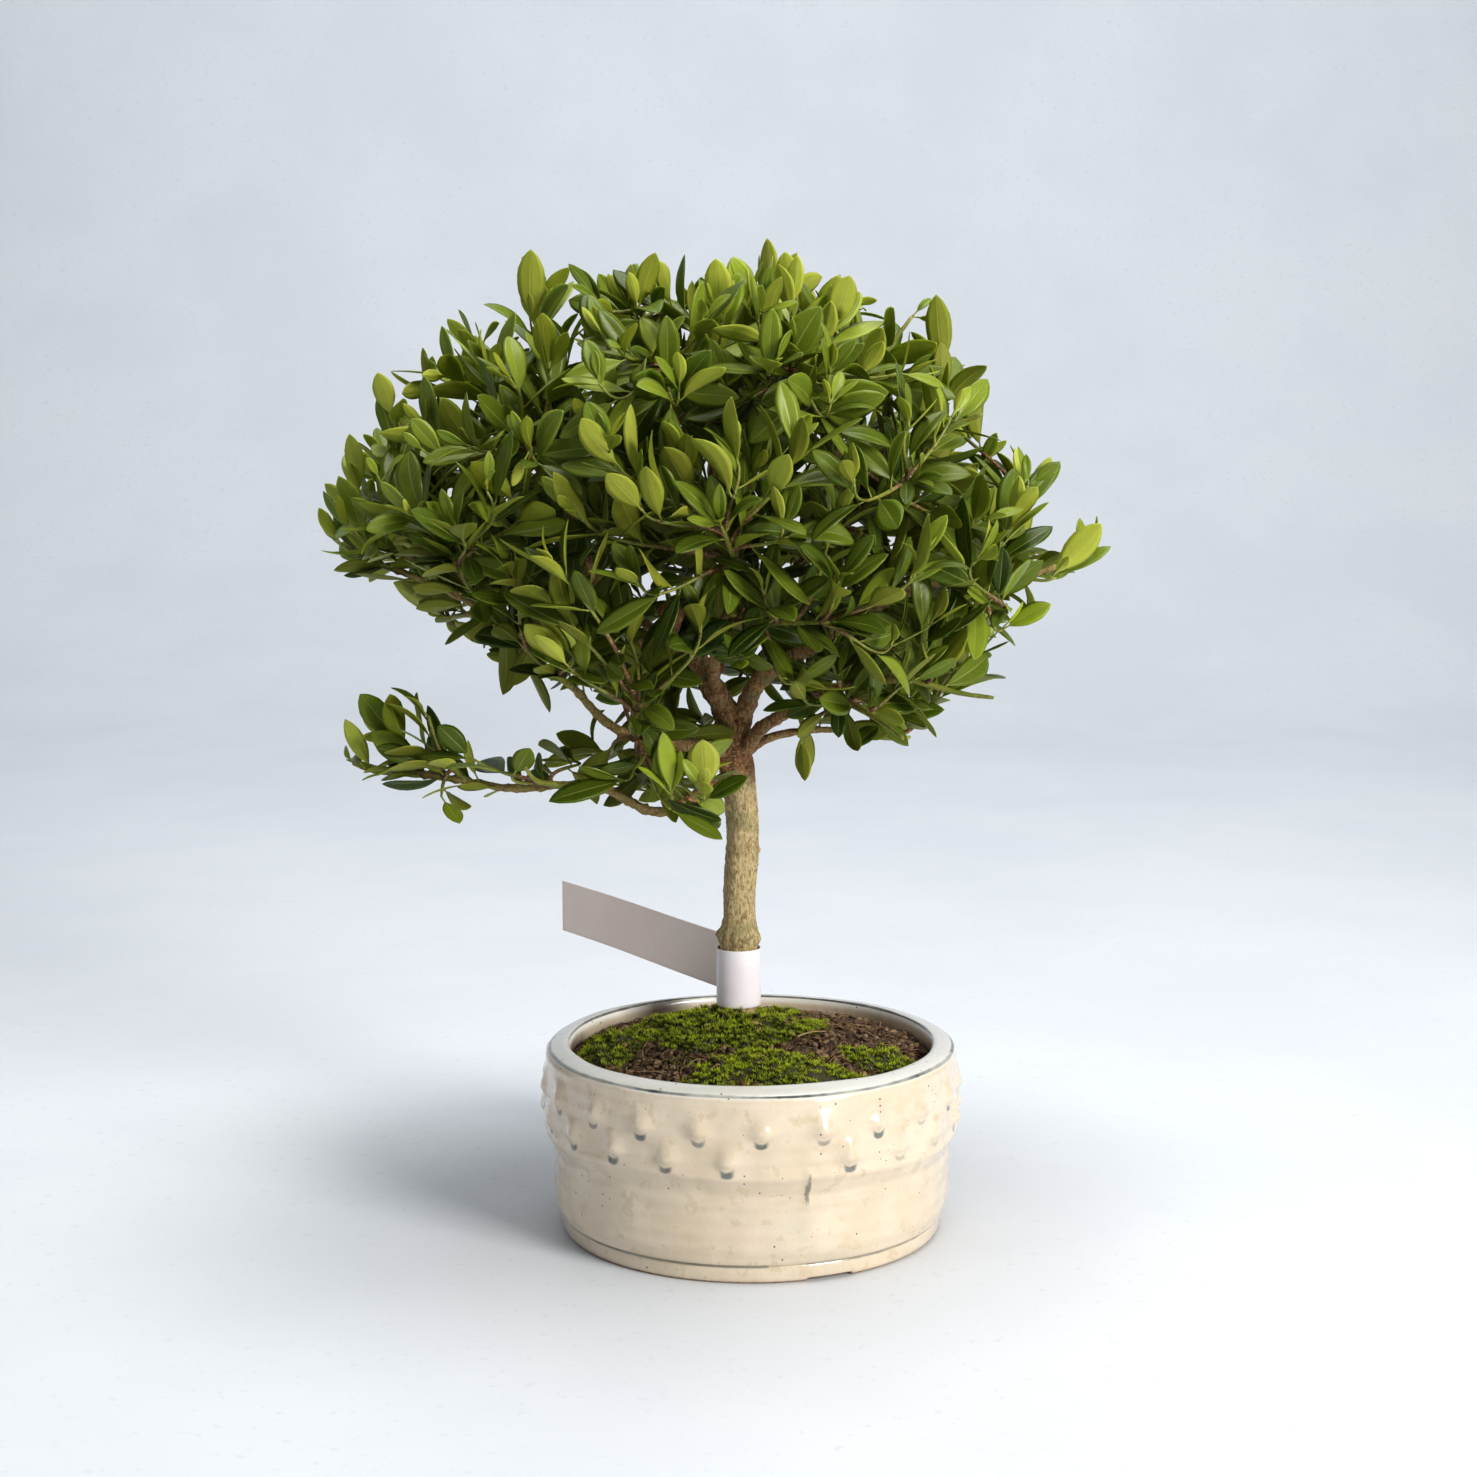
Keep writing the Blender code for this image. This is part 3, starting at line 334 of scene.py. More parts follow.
def smooth_path(points, spacing):
    """A Catmull-Rom curve through points of any number of values, in steps of about this length."""
    points = np.asarray(points, float)
    ends = np.vstack([2 * points[0] - points[1], points, 2 * points[-1] - points[-2]])
    path = []
    for a, b, c, d in zip(ends, ends[1:], ends[2:], ends[3:]):
        steps = max(2, int(np.linalg.norm((c - b)[:3]) / spacing))
        t = (np.arange(steps) / steps)[:, None]
        path.append(0.5 * (2 * b + (c - a) * t + (2 * a - 5 * b + 4 * c - d) * t**2
                           + (3 * b - a - 3 * c + d) * t**3))
    return np.vstack([*path, points[-1]])


def lengths_along(path):
    steps = np.linalg.norm(np.diff(path[:, :3], axis=0), axis=1)
    return np.concatenate([[0.0], np.cumsum(steps)])


def at_length(path, lengths, wanted):
    """The point of a path at this length along it."""
    return np.array([np.interp(wanted, lengths, path[:, axis]) for axis in range(3)])


def along(path, fraction):
    lengths = lengths_along(path)
    return at_length(path, lengths, fraction * lengths[-1])


def bent(start, start_heading, end, end_heading, steps):
    """A curve that leaves start along one heading and reaches end along the other."""
    reach = np.linalg.norm(end - start)
    second = start + 0.38 * reach * start_heading
    third = end - 0.36 * reach * end_heading
    t = np.linspace(0, 1, steps)[:, None]
    return ((1 - t)**3 * start + 3 * (1 - t)**2 * t * second + 3 * (1 - t) * t**2 * third
            + t**3 * end)


def path_frames(path):
    """Two axes across a path, at each of its points, that turn as little as they can."""
    tangents = unit(np.gradient(path, axis=0))
    side = np.cross(tangents[0], (0.0, 0.0, 1.0))
    if np.linalg.norm(side) < 0.15:
        side = np.cross(tangents[0], (0.0, 1.0, 0.0))
    sides = []
    for tangent in tangents:
        side = unit(side - side.dot(tangent) * tangent)
        sides.append(side)
    sides = np.array(sides)
    return sides, np.cross(tangents, sides)


def around_path(path, sides):
    """The ways out from each point of a path to evenly spaced places round it."""
    side, rise = path_frames(path)
    angle = 2 * np.pi * np.arange(sides)[None, :, None] / sides
    return np.cos(angle) * side[:, None] + np.sin(angle) * rise[:, None]


def ripple(points, size, seed, waves=18):
    """Smooth random relief of about -1 to 1, with features of this size."""
    chance = np.random.default_rng(seed)
    turns = unit(chance.normal(size=(waves, 3))) * 2 * np.pi / size
    turns *= chance.uniform(0.6, 1.7, size=(waves, 1))
    phases = chance.uniform(0, 2 * np.pi, size=waves)
    return np.sin(np.asarray(points) @ turns.T + phases).sum(axis=-1) / math.sqrt(waves)


def polar(radius, azimuth, height):
    return np.stack([radius * np.cos(azimuth), radius * np.sin(azimuth), height], axis=-1)


def ring_quads(rings, places):
    """The faces between neighbouring closed rings of points."""
    ring, place = np.meshgrid(np.arange(rings - 1), np.arange(places), indexing="ij")
    following = (place + 1) % places
    return np.stack([ring * places + place, ring * places + following,
                     (ring + 1) * places + following, (ring + 1) * places + place],
                    axis=-1).reshape(-1, 4)


def fan(hub, start, places):
    """The faces from a hub point to the closed ring of points that begins at start."""
    first = np.arange(places)
    return np.stack([np.full(places, hub), start + first, start + (first + 1) % places], axis=-1)


def closed_faces(rings, places):
    """The quads and triangles of rings with a hub for the first one, then one for the last."""
    size = rings * places
    caps = [fan(size, 0, places)[:, (0, 2, 1)], fan(size + 1, size - places, places)]
    return ring_quads(rings, places), np.vstack(caps)


def tube(heap, path, radii, sides, tints, finish=0, relief=0.0, relief_size=0.003, seed=0):
    """A closed round tube along a path, with one radius for each ring and a random relief."""
    rings = len(path)
    around = around_path(path, sides)
    radii = np.asarray(radii, float)
    radii = np.broadcast_to(radii[:, None] if radii.ndim else radii, (rings, sides))[..., None]
    skin = path[:, None] + radii * around
    if relief:
        skin = skin + relief * ripple(skin, relief_size, seed)[..., None] * around
    tangent = unit(path[1] - path[0])
    last = unit(path[-1] - path[-2])
    points = np.vstack([
        skin.reshape(-1, 3),
        path[0] - 0.3 * radii[0].mean() * tangent,
        path[-1] + 0.45 * radii[-1].mean() * last,
    ])
    tints = np.asarray(tints, float)
    if tints.ndim == 2:
        tints = np.vstack([np.repeat(tints, sides, axis=0), tints[:1], tints[-1:]])
    heap.add(points, *closed_faces(rings, sides), tints, finish)


def turned(heap, section, around, shape, tints=(0.5, 0.5, 0.5, 1.0)):
    """A closed solid turned about Z from a section that starts and ends on the axis.

    shape(radius, height, azimuth) gives the moved radius and height of every point.
    """
    section = np.asarray(section, float)[::-1]
    azimuth = 2 * np.pi * np.arange(around) / around
    radius, height = shape(
        np.repeat(section[1:-1, :1], around, axis=1), np.repeat(section[1:-1, 1:], around, axis=1),
        np.broadcast_to(azimuth, (len(section) - 2, around)))
    skin = polar(radius, azimuth, height)
    points = np.vstack([skin.reshape(-1, 3), (0, 0, section[0, 1]), (0, 0, section[-1, 1])])
    heap.add(points, *closed_faces(len(skin), around), tints)


# ---------------------------------------------------------------------------------------------
# Finishes
# ---------------------------------------------------------------------------------------------


def put(tree, kind, settings=None, feeds=None):
    """Adds a shader node. feeds gives an input, by name or place, a value or a socket to join."""
    node = tree.nodes.new("ShaderNode" + kind)
    for key, value in (settings or {}).items():
        setattr(node, key, value)
    for key, value in (feeds or {}).items():
        if isinstance(value, Value):
            tree.links.new(value.socket, node.inputs[key])
        else:
            node.inputs[key].default_value = value
    return node


class Value:
    """What a shader node gives, so that later nodes can be written as plain sums."""

    def __init__(self, tree, socket):
        self.tree = tree
        self.socket = socket

    def calc(self, operation, *others):
        return math_node(self.tree, operation, self, *others)

    def __add__(self, other):
        return self.calc("ADD", other)

    def __sub__(self, other):
        return self.calc("SUBTRACT", other)

    def __rsub__(self, other):
        return math_node(self.tree, "SUBTRACT", other, self)

    def __mul__(self, other):
        return self.calc("MULTIPLY", other)

    def __truediv__(self, other):
        return self.calc("DIVIDE", other)

    def __gt__(self, other):
        return self.calc("GREATER_THAN", other)

    def __lt__(self, other):
        return self.calc("LESS_THAN", other)

    def __abs__(self):
        return self.calc("ABSOLUTE")

    __radd__ = __add__
    __rmul__ = __mul__


def math_node(tree, operation, *values):
    node = put(tree, "Math", {"operation": operation}, dict(enumerate(values)))
    return Value(tree, node.outputs[0])


def largest(first, *others):
    for other in others:
        first = first.calc("MAXIMUM", other)
    return first


def blend(share, low, high, kind="MIX"):
    """One colour at share 0 and the other at share 1."""
    tree = next(given.tree for given in (share, low, high) if isinstance(given, Value))
    return Value(tree, put(tree, "Mix", {"data_type": "RGBA", "blend_type": kind},
                           {0: share, 6: low, 7: high}).outputs[2])


def span(value, low, high, to_low=0.0, to_high=1.0):
    """The value from low to high as a smooth share from to_low to to_high."""
    node = put(value.tree, "MapRange", {"interpolation_type": "SMOOTHSTEP"},
               {0: value, 1: low, 2: high, 3: to_low, 4: to_high})
    return Value(value.tree, node.outputs[0])


def noise(place, size, detail=3.0):
    """Noise with features of about this size in metres."""
    return raw_noise(place, 1.0 / size, detail, 0.55)


def raw_noise(place, scale, detail, rough):
    node = put(place.tree, "TexNoise", None,
               {"Vector": place, "Scale": scale, "Detail": detail, "Roughness": rough})
    return Value(place.tree, node.outputs["Fac"])


def axes_of(vector):
    node = put(vector.tree, "SeparateXYZ", None, {0: vector})
    return [Value(vector.tree, socket) for socket in node.outputs]


def color(red, green, blue):
    return (red, green, blue, 1.0)


def make_group(name, inputs, outputs, work):
    """A shader group. work turns the values of its inputs, by name, into those of its outputs."""
    group = bpy.data.node_groups.new(name, "ShaderNodeTree")
    for label, kind, value in inputs:
        socket = group.interface.new_socket(name=label, in_out="INPUT",
                                            socket_type="NodeSocket" + kind)
        if value is not None:
            socket.default_value = value
    for label, kind in outputs:
        group.interface.new_socket(name=label, in_out="OUTPUT", socket_type="NodeSocket" + kind)
    given = group.nodes.new("NodeGroupInput").outputs
    result = group.nodes.new("NodeGroupOutput").inputs
    made = work(*(Value(group, given[label]) for label, _, _ in inputs))
    for (label, _), value in zip(outputs, made):
        group.links.new(value.socket, result[label])
    return group


def mottle_work(place, tone_a, tone_b, fleck, drift, flecks, cover):
    share = span(raw_noise(place, drift, 4.0, 0.6), 0.36, 0.64)
    mask = span(raw_noise(place, flecks, 2.0, 0.5) - (0.72 - cover * 0.4), 0.0, 0.05)
    return blend(mask, blend(share, tone_a, tone_b), fleck), mask


def relief_work(place, coarse, fine, fine_share):
    return (raw_noise(place, coarse, 3.0, 0.6) + raw_noise(place, fine, 2.0, 0.5) * fine_share,)


def wander_work(place, scale, middle, reach):
    return (middle + raw_noise(place, scale, 3.0, 0.55) * reach,)


# Two tones that drift into each other, with small flecks of a third.
MOTTLE = make_group("mottle", [
    ("Place", "Vector", None), ("Tone A", "Color", None), ("Tone B", "Color", None),
    ("Fleck", "Color", None), ("Drift", "Float", 40.0), ("Flecks", "Float", 400.0),
    ("Fleck Cover", "Float", 0.3),
], [("Color", "Color"), ("Fleck Mask", "Float")], mottle_work)
# A height of coarse and fine noise, for a Bump node.
RELIEF = make_group("relief", [
    ("Place", "Vector", None), ("Coarse", "Float", 300.0), ("Fine", "Float", 1500.0),
    ("Fine Share", "Float", 0.4),
], [("Height", "Float")], relief_work)
# A value that wanders from place to place, for Roughness.
WANDER = make_group("wander", [
    ("Place", "Vector", None), ("Scale", "Float", 200.0), ("Middle", "Float", 0.5),
    ("Reach", "Float", 0.1),
], [("Value", "Float")], wander_work)


def finish(name):
    """A new material, and the place on the object that its textures use."""
    made = bpy.data.materials.new(name)
    made.use_nodes = True
    return made, Value(made.node_tree, put(made.node_tree, "TexCoord").outputs["Object"])


def use_group(place, group, feeds):
    node = put(place.tree, "Group", {"node_tree": group}, {"Place": place, **feeds})
    return [Value(place.tree, socket) for socket in node.outputs]


def mottle(place, tone_a, tone_b, fleck, drift, flecks, cover):
    """A mottled colour and its fleck mask. drift and flecks are feature sizes in metres."""
    return use_group(place, MOTTLE, {
        "Tone A": tone_a, "Tone B": tone_b, "Fleck": fleck, "Drift": 1 / drift,
        "Flecks": 1 / flecks, "Fleck Cover": cover})


def relief(place, coarse, fine, fine_share):
    return use_group(place, RELIEF, {
        "Coarse": 1 / coarse, "Fine": 1 / fine, "Fine Share": fine_share})[0]


def wander(place, size, middle, reach):
    return use_group(place, WANDER, {"Scale": 1 / size, "Middle": middle, "Reach": reach})[0]


def feed(made, skin, rough, height=None, distance=0.0, strength=1.0, coat=None, **settings):
    """Joins the inputs of the material's shader, and sets the ones that are constant."""
    tree = made.node_tree
    inputs = tree.nodes["Principled BSDF"].inputs
    tree.links.new(skin.socket, inputs["Base Color"])
    tree.links.new(rough.socket, inputs["Roughness"])
    if coat:
        tree.links.new(coat.socket, inputs["Coat Weight"])
    if height:
        node = put(tree, "Bump", None, {
            "Height": height, "Distance": distance, "Strength": strength})
        tree.links.new(node.outputs[0], inputs["Normal"])
    for name, value in settings.items():
        inputs[name.replace("_", " ")].default_value = value
    return made


def tint_parts(place):
    """The four numbers that each point carries in its tint."""
    node = put(place.tree, "Attribute", {"attribute_name": "tint"})
    parts = put(place.tree, "SeparateColor", None, {0: Value(place.tree, node.outputs["Color"])})
    return [Value(place.tree, socket) for socket in (*parts.outputs[:3], node.outputs["Alpha"])]


def leaf_finish():
    """Tint: along the blade, across it, freshness step plus the leaf's tone, and the underside."""
    made, place = finish("leaf")
    along_blade, across, packed, side = tint_parts(place)
    under = side > 0.5
    tone = packed.calc("FRACT")
    fresh = packed.calc("FLOOR") / FRESH_STEPS
    drift = noise(place, 0.006)
    old_top = blend(tone, color(0.014, 0.030, 0.003), color(0.058, 0.090, 0.006))
    fresh_top = blend(tone, color(0.155, 0.220, 0.014), color(0.390, 0.465, 0.050))
    # The undersides' colours are partly their own paler tone and partly painted light shining
    # through the leaf.
    old_under = blend(tone, color(0.075, 0.088, 0.008), color(0.160, 0.165, 0.012))
    fresh_under = blend(tone, color(0.290, 0.315, 0.022), color(0.560, 0.610, 0.110))
    blade = blend(under, blend(fresh, old_top, fresh_top), blend(fresh, old_under, fresh_under))
    blade = blend(span(drift, 0.35, 0.75, 0.0, 0.35), blade,
                  blend(1.0, blade, color(0.80, 0.72, 0.55), "MULTIPLY"))
    off_middle = abs(across * 2.0 - 1.0)
    rib = 1.0 - span(off_middle / (0.085 - along_blade * 0.05), 0.5, 1.2)
    wave = abs((along_blade * 8.0 - off_middle * 1.9).calc("FRACT") - 0.5)
    vein = span(wave, 0.43, 0.5) * span(off_middle, 0.95, 0.6)
    stalk = along_blade < 0.012
    pale = largest(rib * 0.85, vein * 0.22, span(off_middle, 0.90, 1.0) * 0.35, stalk)
    skin = blend(pale, blade, blend(0.5, blade, color(0.36, 0.40, 0.10)))
    return feed(made, skin, under * 0.20 + 0.30 + drift * 0.12, drift * 0.5 - (rib + vein * 0.5),
                0.00012, 0.8, (1.0 - under) * 0.12, Coat_Roughness=0.18, Specular_IOR_Level=0.22,
                Subsurface_Weight=0.20, Subsurface_Radius=(0.6, 0.9, 0.15), Subsurface_Scale=0.0012)


def shoot_finish():
    """Young stems. Tint: how woody, and a random tone."""
    made, place = finish("young_stem")
    woody, tone, _, _ = tint_parts(place)
    green, _ = mottle(place, color(0.16, 0.19, 0.028), color(0.26, 0.27, 0.045),
                      color(0.16, 0.09, 0.03), 0.006, 0.0012, 0.35)
    brown, _ = mottle(place, color(0.20, 0.10, 0.045), color(0.11, 0.065, 0.030),
                      color(0.34, 0.22, 0.12), 0.004, 0.0010, 0.45)
    share = span(woody + tone * 0.2, 0.35, 0.85)
    return feed(made, blend(share, green, brown), share * 0.3 + 0.45,
                relief(place, 0.0012, 0.0004, 0.5), 0.0002)


def bark_finish(name, tone_a, tone_b, fleck):
    """Tint: how near a joint or a cut end, where the bark is orange and rough, and how young."""
    made, place = finish(name)
    joint, young, _, _ = tint_parts(place)
    node = put(place.tree, "Mapping", None, {"Vector": place, "Scale": (1.0, 1.0, 0.40)})
    flat = Value(place.tree, node.outputs[0])
    skin, mask = mottle(flat, tone_a, tone_b, fleck, 0.0045, 0.0011, 0.62)
    lichen = span(noise(place, 0.011, 4.0), 0.50, 0.66, 0.0, 0.60)
    skin = blend(lichen, skin, color(0.20, 0.195, 0.085))
    pore = put(place.tree, "TexVoronoi", None, {"Vector": flat, "Scale": 1150.0, "Randomness": 1.0})
    dark_pore = span(Value(place.tree, pore.outputs["Distance"]), 0.30, 0.10, 0.0, 0.60)
    skin = blend(dark_pore, skin, color(0.075, 0.045, 0.020))
    orange, _ = mottle(place, color(0.33, 0.155, 0.060), color(0.17, 0.075, 0.032),
                       color(0.50, 0.33, 0.17), 0.003, 0.0009, 0.4)
    skin = blend(span(joint + noise(place, 0.004) * 0.5, 0.55, 0.95), skin, orange)
    green, _ = mottle(place, color(0.19, 0.205, 0.035), color(0.25, 0.19, 0.060),
                      color(0.13, 0.075, 0.03), 0.005, 0.0010, 0.40)
    return feed(made, blend(young * 0.8, skin, green), mask * 0.2 + 0.62,
                relief(flat, 0.0016, 0.0005, 0.5) - dark_pore * 0.5, 0.0007)


def knob_pools_and_shade(place, azimuth, radius, height, wobble, first_azimuth, level, missing):
    """The dark crescent at the lower edge of each knob of one row: thick glaze gathered there, and
    painted shade under the knob.
    """
    turn = (azimuth - first_azimuth) / KNOB_PITCH
    number = turn.calc("ROUND")
    away = (turn - number) * (math.radians(KNOB_PITCH) * KNOB_RADIUS)
    node = put(place.tree, "TexWhiteNoise", {"noise_dimensions": "1D"},
               {"W": number + 10 * level * 1000})
    chance = Value(place.tree, node.outputs["Value"])
    line = height - (level - 0.0006) - away * away * 150.0 + wobble * 0.0016
    core = span(abs(line) / (chance * 0.0008 + 0.0009), 1.25, 0.45)
    mask = core * span(abs(away), 0.0036, 0.0015) * span(chance, 0.02, 0.55, 0.35, 1.0)
    if missing is not None:
        mask = mask * (1.0 - number.calc("COMPARE", float(missing), 0.1))
    return mask * (radius > 0.083)


def glaze_finish():
    """Cream glaze with iron specks, grey-blue where it gathers thick at the edges and under each
    knob, where the crescents are also painted shade.
    """
    made, place = finish("cream_glaze")
    x, y, height = axes_of(place)
    radius = (x * x + y * y).calc("SQRT")
    # The azimuth in degrees from the front, -Y, towards +X.
    azimuth = x.calc("ARCTAN2", y * -1.0) * (180 / math.pi)
    wobble = noise(place, 0.006) - 0.5
    drift = noise(place, 0.030, 4.0)
    cream, _ = mottle(place, color(0.655, 0.545, 0.405), color(0.700, 0.595, 0.460),
                      color(0.63, 0.52, 0.37), 0.022, 0.0060, 0.30)
    # Thick glaze looks blue-green in the hollows, and thin glaze warm.
    cream = blend(span(drift, 0.60, 0.76, 0.0, 0.40), cream, color(0.54, 0.52, 0.40))
    cream = blend(span(drift, 0.38, 0.26, 0.0, 0.40), cream, color(0.70, 0.56, 0.40))
    cream = blend(span(height, 0.0765, 0.0790) * 0.90, cream, color(0.88, 0.86, 0.80))
    about = (place, azimuth, radius, height, wobble)
    # The crescents under the knobs are thick glaze and painted shade.
    pools_and_shade = largest(knob_pools_and_shade(*about, UPPER_KNOBS, UPPER_POOL_AND_SHADE_LEVEL, None),
                    knob_pools_and_shade(*about, LOWER_KNOBS, LOWER_POOL_AND_SHADE_LEVEL, MISSING_KNOB))
    gap = span(azimuth, 4.0, 5.2) * span(azimuth, 15.8, 14.6)
    groove = span(abs(height - 0.0076) + wobble * 0.0005, 0.0012, 0.0005)
    groove = groove * (radius > 0.0785) * (1.0 - gap)
    edge_line = span(abs(height - 0.0785) + wobble * 0.0004, 0.00070, 0.00025)
    edge_line = edge_line * (radius > 0.0855) * span(noise(place, 0.030), 0.40, 0.60, 0.55, 1.0)
    mouth_line = span(abs(radius - 0.0781) + wobble * 0.0004, 0.0007, 0.0003)
    mouth_line = mouth_line * (height > 0.0798) * span(y, -0.03, 0.03, 0.1, 0.9)
    # One run of thick glaze, beside the gap in the groove.
    run = span(abs(azimuth - 15.0) + wobble * 2.0, 1.0, 0.3)
    run = run * (span(height, 0.032, 0.036) * span(height, 0.048, 0.0455)) * 0.75
    dark = largest(pools_and_shade * 0.92, groove * 0.62, run, edge_line, mouth_line)
    # The tone of thick glaze, which in the knob crescents also paints shade.
    pooled_and_shade_tone = blend(span(wobble, -0.15, 0.15),
                   color(0.045, 0.050, 0.045), color(0.125, 0.145, 0.130))
    skin = blend(dark, cream, pooled_and_shade_tone)
    halo = span(dark, 0.0, 0.5) * 0.25 - dark * 0.25
    skin = blend(halo, skin, color(0.45, 0.48, 0.42))
    cells = put(place.tree, "TexVoronoi", None,
                {"Vector": place, "Scale": 330.0, "Randomness": 1.0})
    parts = put(place.tree, "SeparateColor", None, {0: Value(place.tree, cells.outputs["Color"])})
    pick = Value(place.tree, parts.outputs[0])
    near = Value(place.tree, cells.outputs["Distance"]) < span(pick, 0.70, 1.0, 0.05, 0.150)
    speck = near * (pick > 0.72)
    skin = blend(speck * 0.85, skin, color(0.11, 0.058, 0.028))
    # The foot ring and the underside are bare clay.
    facing = axes_of(Value(place.tree, put(place.tree, "NewGeometry").outputs["Normal"]))[2]
    bare = span(facing, -0.35, -0.75) * span(height, 0.004, 0.0025)
    clay, _ = mottle(place, color(0.42, 0.30, 0.20), color(0.34, 0.235, 0.155),
                     color(0.16, 0.09, 0.05), 0.008, 0.0010, 0.35)
    return feed(made, blend(bare, skin, clay), bare * 0.6 + wander(place, 0.004, 0.17, 0.10),
                relief(place, 0.005, 0.0012, 0.12) - largest(speck, dark) * 0.25, 0.0006, 0.5,
                (1.0 - bare) * 0.6, Coat_Roughness=0.10)


def soil_finish():
    """Tint: lightness, redness, and fibre."""
    made, place = finish("dark_soil")
    light, red, fibre, _ = tint_parts(place)
    dark, _ = mottle(place, color(0.020, 0.012, 0.008), color(0.050, 0.029, 0.016),
                     color(0.16, 0.095, 0.05), 0.004, 0.0009, 0.30)
    warm, _ = mottle(place, color(0.165, 0.078, 0.040), color(0.085, 0.042, 0.023),
                     color(0.30, 0.19, 0.11), 0.003, 0.0008, 0.3)
    straw, _ = mottle(place, color(0.42, 0.27, 0.13), color(0.26, 0.145, 0.060),
                      color(0.50, 0.36, 0.20), 0.004, 0.0008, 0.4)
    skin = blend(fibre, blend(red, dark, warm), straw)
    skin = blend(light * 0.85, skin, color(0.56, 0.39, 0.24))
    return feed(made, skin, wander(place, 0.002, 0.78, 0.2),
                relief(place, 0.0018, 0.0005, 0.6), 0.0010)


def moss_finish():
    """Tint: height up the blade, how light its patch is (a random tone, with painted light and
    shade), and how brown.
    """
    made, place = finish("moss")
    up, tone_and_painted_light_tint, brown, _ = tint_parts(place)
    # Low on the blades and on the cushion's skin the moss is near black: its old stems, and painted
    # shade deep in the cushion.
    low = blend(tone_and_painted_light_tint, color(0.010, 0.016, 0.003), color(0.028, 0.048, 0.004))
    tip, _ = mottle(place, color(0.155, 0.215, 0.012), color(0.330, 0.410, 0.021),
                    color(0.36, 0.34, 0.06), 0.003, 0.0012, 0.3)
    # Where the patch is painted light, the tips turn pale lime: a painted highlight.
    tip = blend(tone_and_painted_light_tint, tip, color(0.700, 0.810, 0.034))
    skin = blend(brown * 0.8, blend(span(up, 0.18, 1.0), low, tip), color(0.13, 0.085, 0.035))
    return feed(made, skin, wander(place, 0.002, 0.55, 0.25),
                relief(place, 0.0010, 0.0004, 0.5), 0.0003)


def paper_finish():
    """A bare, slightly glossy white strip, faintly pink, with a warmer, darker tone on its tail that
    paints the shade the tail lies in, and browner low down.
    """
    made, place = finish("label_strip")
    tail, _, _, _ = tint_parts(place)
    wound, _ = mottle(place, color(0.86, 0.780, 0.815), color(0.88, 0.835, 0.855),
                      color(0.80, 0.73, 0.73), 0.020, 0.0007, 0.18)
    # The tail's tone is painted shade: the same paper, warmer and a little darker.
    shaded_tail_tone, _ = mottle(place, color(0.84, 0.700, 0.625), color(0.87, 0.740, 0.665),
                      color(0.76, 0.62, 0.55), 0.030, 0.0007, 0.18)
    # Browner towards the strip's bottom edge.
    browner_low = span(axes_of(place)[2] + noise(place, 0.004) * 0.003,
                  LABEL_BOTTOM + 0.0040, LABEL_BOTTOM + 0.0008)
    skin = blend(browner_low * 0.22, blend(span(tail, 0.0, 1.0), wound, shaded_tail_tone), color(0.42, 0.34, 0.25))
    return feed(made, skin, wander(place, 0.010, 0.34, 0.12),
                relief(place, 0.0016, 0.0004, 0.5), 0.00006)


def screen_finish():
    made, place = finish("black_plastic_mesh")
    skin, _ = mottle(place, color(0.018, 0.019, 0.018), color(0.030, 0.031, 0.029),
                     color(0.10, 0.07, 0.045), 0.003, 0.0008, 0.35)
    return feed(made, skin, wander(place, 0.002, 0.45, 0.2),
                relief(place, 0.0009, 0.0003, 0.4), 0.0001)


def floor_finish():
    made, place = finish("pale_floor")
    skin, _ = mottle(place, color(0.68, 0.70, 0.73), color(0.71, 0.73, 0.755),
                     color(0.66, 0.68, 0.71), 0.25, 0.006, 0.2)
    return feed(made, skin, wander(place, 0.05, 0.42, 0.12), Specular_IOR_Level=0.08)


# ---------------------------------------------------------------------------------------------
# The bowl
# ---------------------------------------------------------------------------------------------

# Two rows of knobs: the azimuth of each row's first one in degrees, and the levels of their middles
# and of the dark crescent below them, thick glaze with painted shade.
KNOB_PITCH = 360 / 22
UPPER_KNOBS = 2.3
UPPER_KNOB_LEVEL = 0.0640
UPPER_POOL_AND_SHADE_LEVEL = 0.0596
LOWER_KNOBS = -6.5
LOWER_KNOB_LEVEL = 0.0522
LOWER_POOL_AND_SHADE_LEVEL = 0.0478
MISSING_KNOB = 1
KNOB_HEIGHT = 0.0024
KNOB_RADIUS = 0.0886


def near_turn(azimuth, first, pitch):
    """The number of the nearest knob, and how far round from it, in degrees."""
    turn = (azimuth - first) / pitch
    number = np.round(turn)
    return number, (turn - number) * pitch


